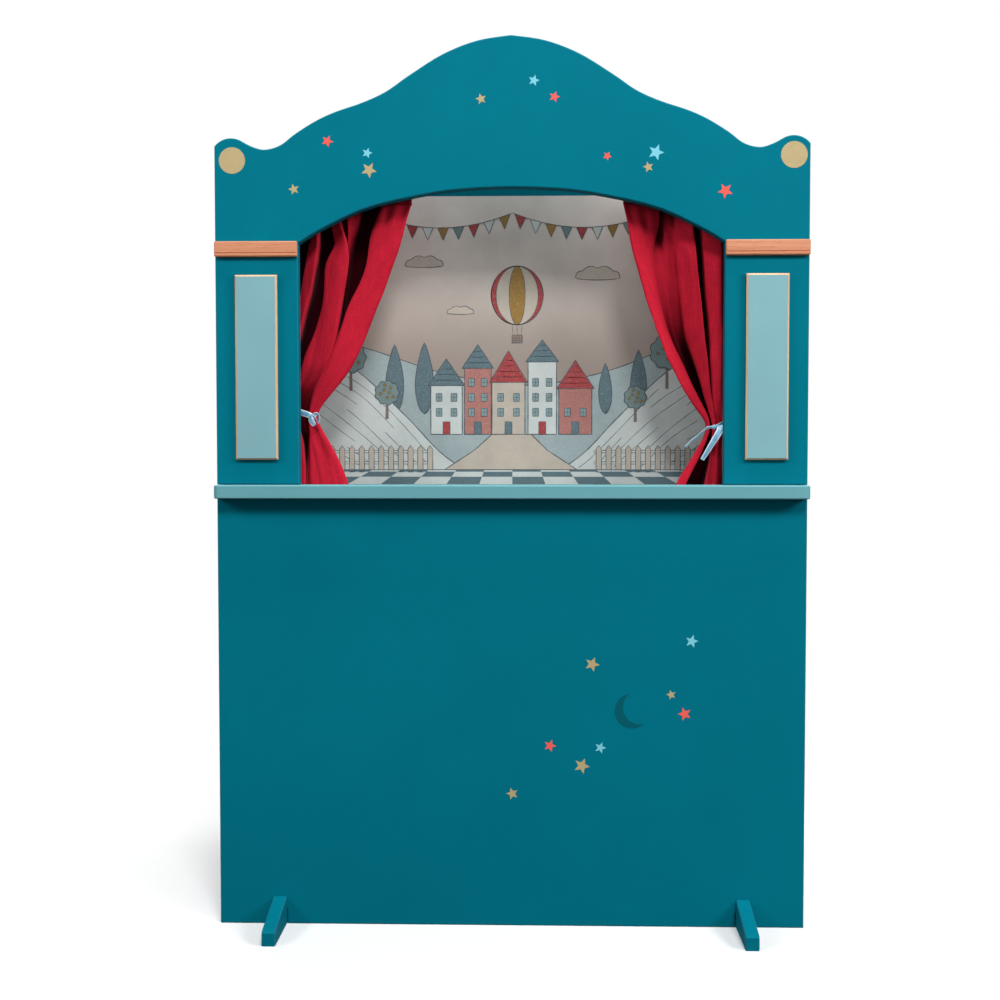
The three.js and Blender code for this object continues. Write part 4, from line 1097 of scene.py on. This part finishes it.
def draw_house(art, x, z, width, height, roof, wall, tiles, layer):
    """A narrow house with a pitched roof, a door and rows of small paned windows."""
    art.block(box_outline(x, z, width, height), wall, layer)
    eave, foot = width / 2 + 3, z + height
    art.block([(x - eave, foot), (x + eave, foot), (x, foot + roof)], tiles, layer + 2)
    for row in range(1, int(roof / TILE_ROW)):
        level = foot + row * TILE_ROW
        half = eave * (1 - row * TILE_ROW / roof) - 1
        there_and_back = dense([(x - half, level), (x + half, level)])[:-1]
        art.line(there_and_back, layer + 3, 0.6)
    art.block(box_outline(x, z, 9, 16), "red" if wall == "stone" else "slate", layer + 2, 0.8)
    for row in range(int((height - FIRST_WINDOW + 1) / WINDOW_ROW)):
        for place in (-1, 1):
            middle, level = x + place * width / 4.2, z + FIRST_WINDOW + row * WINDOW_ROW
            art.block(box_outline(middle, level, 7.5, 10), "glass", layer + 2, 0.8)
            art.line([(middle, level + up) for up in (0.5, 5, 9.5)], layer + 3, 0.5)
            art.line([(middle + over, level + 5) for over in (-3.5, 0, 3.5)], layer + 3, 0.5)


def draw_tree(art, x, z, radius, layer):
    """A round tree: a scalloped crown on a thin trunk, with small fruit along a spiral."""
    fork, top = z + radius * 1.5, z + radius * 2.2
    art.block([(x - 1.6, z), (x + 1.6, z), (x + 1.2, fork), (x - 1.2, fork)], "clay", layer, 0.7)
    angle = full_turn(72)
    reach = radius * (1 + 0.06 * np.cos(9 * angle))
    art.shape(round_points(x, top, reach, reach, angle), "sage", layer + 2)
    for index in range(TREE_FRUIT):
        turn, away = index * 2.4, radius * 0.7 * math.sqrt((index + 0.5) / TREE_FRUIT)
        dot = ellipse(x + away * math.cos(turn), top + away * math.sin(turn), 1.9, 1.9, 14)
        art.shape(dot, "gold", layer + 4, 0.5)


def draw_poplar(art, x, z, height, layer):
    """A slim tree: a pointed oval, fuller below its middle."""
    share = np.linspace(0, 1, 24)
    half = height * 0.13 * np.sin(math.pi * share ** 0.75) ** 0.8
    right, left = (np.stack([x + side * half, z + share * height], axis=1) for side in (1, -1))
    art.shape(np.concatenate([right, left[::-1][1:-1]]), "slate", layer)


def draw_cloud(art, x, z, wide, layer):
    """A cloud with a flat foot: the outline is a flattened circle whose upper half has four lobes."""
    angle = full_turn(90)
    lobes = np.where(angle < math.pi, 1 + 0.3 * np.abs(np.sin(4 * angle)), 1)
    high = np.where(angle < math.pi, 0.42, 0.1) * wide
    outline = round_points(x, z, wide * (0.94 + 0.06 * lobes), high * lobes, angle)
    art.shape(outline, "cream", layer, 0.9)


def draw_balloon(art, x, z, radius, layer):
    """A striped balloon: an ellipse cut into upright gores, with cords and a basket."""
    high = radius * 1.12
    angle = np.linspace(-math.pi / 2, math.pi / 2, 30)
    edges = np.sin(np.linspace(-1, 1, len(STRIPES) + 1) * math.pi / 2)
    gores = [round_points(x, z, radius * edge, high, angle) for edge in edges]
    for left, right, colour in zip(gores, gores[1:], STRIPES):
        art.fill(np.concatenate([left, right[::-1][1:-1]]), colour, layer)
        art.line(left, layer + 1, 0.8)
    art.line(ellipse(x, z, radius, high, 60), layer + 1, 1.2, closed=True)
    foot = z - high
    for place in (-5, 0, 5):
        cord = [(x + place * spread, foot + up) for spread, up in ((1.3, 2), (1.15, -6), (1, -13))]
        art.line(cord, layer + 1, 0.6)
    art.block(box_outline(x, foot - 23, 13, 10), "clay", layer + 2, 0.9)
    for row in (3, 6):
        art.line([(x + over, foot - 23 + row) for over in (-6, 0, 6)], layer + 3, 0.5)


def draw_bunting(art, left, right, sag, count, layer):
    """Pennants along a hanging cord, which is a parabola between its two ends."""
    share = np.linspace(0, 1, 50)
    cord_x = left[0] + (right[0] - left[0]) * share
    cord_z = left[1] + (right[1] - left[1]) * share - sag * 4 * share * (1 - share)
    art.line(np.stack([cord_x, cord_z], axis=1), layer + 2, 0.9)
    for index in range(count):
        ends = ((index + 0.15) / count, (index + 0.85) / count)
        xs, zs = np.interp(ends, share, cord_x), np.interp(ends, share, cord_z)
        drop = 1.15 * math.hypot(xs[1] - xs[0], zs[1] - zs[0])
        corners = [*zip(xs, zs), (sum(xs) / 2, sum(zs) / 2 - drop)]
        art.block(corners, PENNANTS[index % len(PENNANTS)], layer, 0.8)


def draw_fence(art, start, end, z, height, layer):
    """A picket fence: two rails, and pales with pointed tops."""
    for level in (0.3, 0.72):
        rail = box_outline((start + end) / 2, z + height * level, end - start, 3)
        art.block(rail, "stone", layer, 0.7)
    for x in np.arange(start + 6, end, PALE_STEP):
        pale = [(-3.4, 0), (3.4, 0), (3.4, height - 5), (0, height), (-3.4, height - 5)]
        art.block([(x + over, z + up) for over, up in pale], "cream", layer + 2, 0.8)


def draw_hill(art, heights, colour, layer, lines=0):
    """Ground under a softened line between the given places, with furrows that follow its slope."""
    place = np.array(heights, float)
    x = np.linspace(place[0, 0], place[-1, 0], 120)
    z = soften(np.interp(x, place[:, 0], place[:, 1]), 60)
    slope = np.stack([x, z], axis=1)
    art.fill(np.concatenate([slope, [(x[-1], HILL_FOOT), (x[0], HILL_FOOT)]]), colour, layer)
    art.line(slope, layer + 1, 1.2)
    for row in range(1, lines + 1):
        sunk = z - row * FURROW_STEP - 2 * np.sin(x / 19 + row)
        keep = (sunk > FURROW_FOOT) & (np.sin(x / 23 + row * 2.1) > -0.75)
        for part in np.split(np.arange(x.size), np.flatnonzero(np.diff(keep.astype(int))) + 1):
            if keep[part[0]] and part.size >= SHORTEST_FURROW:
                art.line(np.stack([x[part], sunk[part]], axis=1), layer + 1, 0.7)


def draw_square(art, depth, layer):
    """A chequered square: rows that shrink with distance, and columns that meet at one point."""
    levels = depth * (1 - (1 - np.linspace(0, 1, SQUARE_ROWS + 1)) ** 1.8)
    art.fill(box_outline(0, 0, 2 * HALF_WIDTH, depth), "stone", layer)
    for row in range(SQUARE_ROWS):
        low, high = levels[row:row + 2]
        for column in range(-9, 9):
            if (row + column) % 2:
                continue
            edges = np.array([column, column + 1]) * SQUARE_TILE
            near, far = (np.clip(edges * (1 - level / SQUARE_MEET), -HALF_WIDTH, HALF_WIDTH)
                         for level in (low, high))
            if near[1] - near[0] > 1:
                tile = [(near[0], low), (near[1], low), (far[1], high), (far[0], high)]
                art.fill(tile, "slate", layer + 1)
    art.line([(-HALF_WIDTH, depth), (0, depth), (HALF_WIDTH, depth)], layer + 2, 1.2)


# What stands where in the drawing, in the order of each function's arguments
FAR_HILL = ((-HALF_WIDTH, 190), (-220, 215), (-90, 168), (20, 150), (130, 172), (240, 222),
            (HALF_WIDTH, 195))
NEAR_SLOPE = ((HALF_WIDTH, 236), (270, 222), (190, 168), (120, 100), (96, 70), (60, 46))
POPLARS = (-150, -112, 118, 160)
HOUSES = (
    (-84, 92, 40, 62, 34, "stone", "slate"),
    (-44, 92, 34, 84, 30, "rose", "slate"),
    (-5, 92, 42, 66, 40, "cream", "red"),
    (38, 92, 36, 92, 28, "stone", "slate"),
    (80, 92, 42, 58, 36, "rose", "red"),
)
TREES = ((-206, 148, 19), (-252, 190, 23), (-160, 112, 15), (196, 150, 21), (250, 192, 22),
         (156, 108, 14))
CLOUDS = ((-112, 306, 24), (108, 290, 28), (-66, 246, 17))
PATH = ((-26, 92), (24, 92), (44, 72), (84, 46), (-88, 46), (-48, 72))


def draw_backdrop(settings, material):
    """A village on a square, between two orchard slopes, under bunting."""
    art = Drawing(settings)
    draw_hill(art, FAR_HILL, "mist", 0)
    for x in POPLARS:
        draw_poplar(art, x, 118, 78 + 14 * math.sin(x), 2)
    for house in HOUSES:
        draw_house(art, *house, 4)
    for side in (-1, 1):
        draw_hill(art, [(side * x, z) for x, z in NEAR_SLOPE][::-side], "stone", 8, lines=8)
    for tree in TREES:
        draw_tree(art, *tree, 10)
    draw_fence(art, -336, -104, 44, 34, 16)
    draw_fence(art, 104, 336, 44, 34, 16)
    art.block(PATH, "cream", 15)
    draw_square(art, 47, 19)
    draw_balloon(art, 6, 268, 33, 4)
    for cloud in CLOUDS:
        draw_cloud(art, *cloud, 2)
    draw_bunting(art, (-215, 388), (0, 372), 26, 11, 10)
    draw_bunting(art, (0, 372), (215, 388), 26, 11, 10)
    art.finish("backdrop_print", material)


# Stage

CAMERA_PLACE = (0.02794, -1.62958, 0.57725)
CAMERA_TILT = math.radians(87.639)
CAMERA_TURN = math.radians(1.461)
CAMERA_LENS = 48.39
SENSOR_WIDTH = 36
FLOOR_HALF = 9.0
SWEEP_START = 2.2
SWEEP_RADIUS = 2.0
WHITE_FROM = 0.36
WHITE_AT = 0.95
# Each lamp's power setting, place, target and size
LAMPS = {
    "left_box": ("left", (-2.0, -1.2, 1.62), (0, 0, 0.6), (0.8, 0.8)),
    "right_box": ("right", (2.0, -1.2, 1.62), (0, 0, 0.6), (0.8, 0.8)),
    "front_box": ("front", (0.2, -3.4, 0.9), (0, 0, 0.6), (1.6, 1.2)),
    "high_box": ("high", (1.0, -4.0, 4.2), (0, 0, 0.6), (1.2, 1.2)),
    "top_box": ("top", (0, -0.35, 2.6), (0, 0.08, 0.85), (0.6, 0.3)),
    "left_back_box": ("back", (-1.8, 2.6, 1.7), (0, 0, 0.6), (0.8, 0.8)),
    "right_back_box": ("back", (1.8, 2.6, 1.7), (0, 0, 0.6), (0.8, 0.8)),
}


def area_light(name, power, place, target, size):
    """A rectangular lamp at a place, aimed at a target."""
    lamp = bpy.data.lights.new(name, "AREA")
    lamp.shape = "RECTANGLE"
    lamp.size, lamp.size_y = size
    lamp.energy = power
    made = link(name, lamp)
    made.visible_camera = False
    made.location = place
    x, y, z = np.array(target) - np.array(place)
    made.rotation_euler = (math.pi / 2 + math.atan2(z, math.hypot(x, y)), 0, math.atan2(-x, y))


def seen_directly(tree):
    """One for what the camera, a mirror or glass sees, and zero for diffuse light."""
    path = add(tree, "LightPath").outputs
    seen = maths(tree, "MAXIMUM", path["Is Camera Ray"], path["Is Glossy Ray"])
    return maths(tree, "MAXIMUM", seen, path["Is Transmission Ray"])


def floor_material(settings):
    """Pale matt floor that keeps the object's shadow. Away from the object, what the camera or a
    mirror sees of it turns to plain white."""
    material, tree = new_material("studio_floor")
    place = coordinate(tree, "Object")
    seen = seen_directly(tree)
    pale = mix(tree, noise(tree, place, 160, 3), shade(settings.floor, 0.99), settings.floor)
    pale = mix(tree, seen, settings.bounce, pale)
    matt = add(tree, "BsdfPrincipled", Base_Color=pale, Roughness=0.9, Specular_IOR_Level=0.1)
    white = add(tree, "Emission", Color=(1, 1, 1, 1), Strength=1.0)
    away = add(tree, "VectorMath", {"operation": "LENGTH"})
    tree.links.new(place, away.inputs[0])
    far = remap(tree, away.outputs["Value"], WHITE_FROM, WHITE_AT, smooth=True)
    blend = add(tree, "MixShader", Fac=maths(tree, "MULTIPLY", seen, far))
    tree.links.new(matt.outputs[0], blend.inputs[1])
    tree.links.new(white.outputs[0], blend.inputs[2])
    add(tree, "OutputMaterial", Surface=blend.outputs[0])
    return material


def make_sweep(settings):
    """Floor that turns up into a background: a line, a quarter circle and a line, carried along X."""
    bend = np.linspace(0, math.pi / 2, 24)
    wall = SWEEP_START + SWEEP_RADIUS
    y = np.concatenate([[-FLOOR_HALF], SWEEP_START + SWEEP_RADIUS * np.sin(bend), [wall]])
    z = np.concatenate([[0], SWEEP_RADIUS * (1 - np.cos(bend)), [FLOOR_HALF]])
    x = np.array([-FLOOR_HALF, FLOOR_HALF])
    points = np.stack(np.broadcast_arrays(x[None, :], y[:, None], z[:, None]), axis=-1)
    faces = grid_faces(y.size, x.size, flipped=True)
    made = make_mesh("studio_sweep", points, faces, floor_material(settings))


def make_camera():
    lens = bpy.data.cameras.new("camera")
    lens.lens = CAMERA_LENS
    lens.sensor_width = SENSOR_WIDTH
    lens.clip_start = 0.05
    made = link("camera", lens)
    made.location = CAMERA_PLACE
    made.rotation_euler = (CAMERA_TILT, 0, CAMERA_TURN)
    bpy.context.scene.camera = made


def make_world(level):
    """White surroundings that light the stand by a level only, and are seen as plain white."""
    world = bpy.data.worlds.new("studio")
    world.use_nodes = True
    tree = world.node_tree
    surroundings = tree.nodes["Background"].inputs
    surroundings["Color"].default_value = (1, 1, 1, 1)
    feed(tree, surroundings["Strength"], remap(tree, seen_directly(tree), 0, 1, level, 1.0))
    bpy.context.scene.world = world


# Operators


class PUPPETSTAND_OT_stage(bpy.types.Operator):
    """Makes the camera, the lights and the pale sweep behind the stand"""
    bl_idname = "puppetstand.stage"
    bl_label = "Stage"

    def execute(self, context):
        settings = context.scene.puppet_stage
        make_camera()
        make_sweep(settings)
        for name, (setting, place, target, size) in LAMPS.items():
            area_light(name, getattr(settings, setting), place, target, size)
        make_world(settings.sky)
        context.scene.view_settings.view_transform = "Standard"
        return {"FINISHED"}


class PUPPETSTAND_OT_boards(bpy.types.Operator):
    """Paints the panel, posts, header, shelf, wings, rails, feet and decor panels"""
    bl_idname = "puppetstand.boards"
    bl_label = "Painted boards"

    def execute(self, context):
        paints, wood = context.scene.puppet_paint, context.scene.puppet_wood
        cover(["lower_panel", "header", "bottom_rail", "top_rail"] + paired("post"),
              paint("teal_front_paint", paints.teal, 1, paints.rim_highlight))
        cover(paired("wing", "foot"), paint("teal_side_paint", paints.teal, 0, paints.rim_highlight))
        cover(["shelf"], paint("pale_shelf_paint", paints.shelf, 2, paints.rim_highlight))
        decor = edged_panel("decor_panel_paint", paints.decor, wood.pale_light, wood.light)
        cover(paired("decor_panel"), decor)
        return {"FINISHED"}


class PUPPETSTAND_OT_wood(bpy.types.Operator):
    """Finishes the bare trims, the curtain rod and the dowels"""
    bl_idname = "puppetstand.wood"
    bl_label = "Bare wood"

    def execute(self, context):
        wood = context.scene.puppet_wood
        cover(paired("trim"), bare_wood("trim_wood", wood.light, wood.dark, 0))
        cover(["curtain_rod"], bare_wood("rod_wood", wood.pale_light, wood.pale_dark, 0))
        cover(paired(*DOWEL_PLACES), bare_wood("dowel_wood", wood.pale_light, wood.pale_dark, 2))
        return {"FINISHED"}


class PUPPETSTAND_OT_fittings(bpy.types.Operator):
    """Plates the cams, eyes and brackets, and makes the threaded screws"""
    bl_idname = "puppetstand.fittings"
    bl_label = "Fittings"

    def execute(self, context):
        metal = context.scene.puppet_metal
        plated = zinc_plate("zinc_plate", metal.zinc)
        cams = [f"{kind}_{level}" for kind in ("cam", "cam_bolt") for level in CAM_LEVELS]
        cover(paired("rod_bracket", "screw_eye", *cams), plated)
        for word, side in SIDES:
            for level in ("bottom", "top"):
                place_screw(f"{word}_{level}_rail_screw", -side, metal, plated)
            for end in ("front", "rear"):
                place_screw(f"{word}_bracket_screw_{end}", side, metal, plated)
        return {"FINISHED"}


class PUPPETSTAND_OT_curtains(bpy.types.Operator):
    """Hangs the two curtains on the rod"""
    bl_idname = "puppetstand.curtains"
    bl_label = "Curtains"

    def execute(self, context):
        for word, side in SIDES:
            make_curtain(word, side, context.scene.puppet_cloth)
        return {"FINISHED"}


class PUPPETSTAND_OT_ribbons(bpy.types.Operator):
    """Ties a satin ribbon round the waist of each curtain"""
    bl_idname = "puppetstand.ribbons"
    bl_label = "Ribbons"

    def execute(self, context):
        settings = context.scene.puppet_ribbon
        satin = ribbon_satin("ribbon_satin", settings.satin, settings.painted_shade)
        for word, side in SIDES:
            tie_ribbon(word, side, settings, satin)
        return {"FINISHED"}


class PUPPETSTAND_OT_prints(bpy.types.Operator):
    """Prints the stars, the discs and the crescent moon on the front boards"""
    bl_idname = "puppetstand.prints"
    bl_label = "Front prints"

    def execute(self, context):
        settings = context.scene.puppet_print
        inks = {name: screen_ink(f"{name}_ink", getattr(settings, name))
                for name in ("gold", "blue", "coral", "night")}
        for board, stars in STARS.items():
            for colour, places in stars.items():
                outlines = [star_outline(*place) for place in places]
                print_shapes(f"{board}_{colour}_stars", outlines, board, settings, inks[colour])
        radius = DISC_DIAMETER / 2
        discs = [ellipse(x, z, radius, radius, 72) * MM for x, z in DISC_PLACES]
        print_shapes("header_gold_discs", discs, "header", settings, inks["gold"])
        print_shapes("panel_moon", [moon_outline()], "lower_panel", settings, inks["night"])
        return {"FINISHED"}


class PUPPETSTAND_OT_backdrop(bpy.types.Operator):
    """Faces the backdrop board and prints a village scene on it"""
    bl_idname = "puppetstand.backdrop"
    bl_label = "Backdrop"

    def execute(self, context):
        settings = context.scene.puppet_backdrop
        cover(["backdrop"], printed_board("backdrop_board", settings))
        draw_backdrop(settings, washed_print("backdrop_inks"))
        return {"FINISHED"}


class PUPPETSTAND_PT_panel(bpy.types.Panel):
    """Lists the steps that dress the stand"""
    bl_idname = "PUPPETSTAND_PT_panel"
    bl_label = "Puppet theater stand"
    bl_space_type = "VIEW_3D"
    bl_region_type = "UI"
    bl_category = "Puppet theater"

    def draw(self, context):
        for operator in OPERATORS:
            self.layout.operator(operator.bl_idname)
        for name in SETTINGS:
            group = getattr(context.scene, name)
            box = self.layout.box()
            for key in group.bl_rna.properties.keys():
                if key not in ("rna_type", "name"):
                    box.prop(group, key)


SETTINGS = {
    "puppet_stage": StageSettings,
    "puppet_paint": PaintSettings,
    "puppet_wood": WoodSettings,
    "puppet_metal": MetalSettings,
    "puppet_cloth": ClothSettings,
    "puppet_ribbon": RibbonSettings,
    "puppet_print": PrintSettings,
    "puppet_backdrop": BackdropSettings,
}
OPERATORS = (
    PUPPETSTAND_OT_stage, PUPPETSTAND_OT_boards, PUPPETSTAND_OT_wood, PUPPETSTAND_OT_fittings,
    PUPPETSTAND_OT_curtains, PUPPETSTAND_OT_ribbons, PUPPETSTAND_OT_prints, PUPPETSTAND_OT_backdrop,
)


def register():
    for group in (*SETTINGS.values(), *OPERATORS, PUPPETSTAND_PT_panel):
        bpy.utils.register_class(group)
    for name, group in SETTINGS.items():
        setattr(bpy.types.Scene, name, bpy.props.PointerProperty(type=group))


def unregister():
    for name in SETTINGS:
        delattr(bpy.types.Scene, name)
    for group in reversed((*SETTINGS.values(), *OPERATORS, PUPPETSTAND_PT_panel)):
        bpy.utils.unregister_class(group)


def main():
    register()
    bpy.ops.puppetstand.stage()
    bpy.ops.puppetstand.boards()
    bpy.ops.puppetstand.wood()
    bpy.ops.puppetstand.fittings()
    bpy.ops.puppetstand.curtains()
    bpy.ops.puppetstand.ribbons()
    bpy.ops.puppetstand.prints()
    bpy.ops.puppetstand.backdrop()


if __name__ == "__main__":
    main()
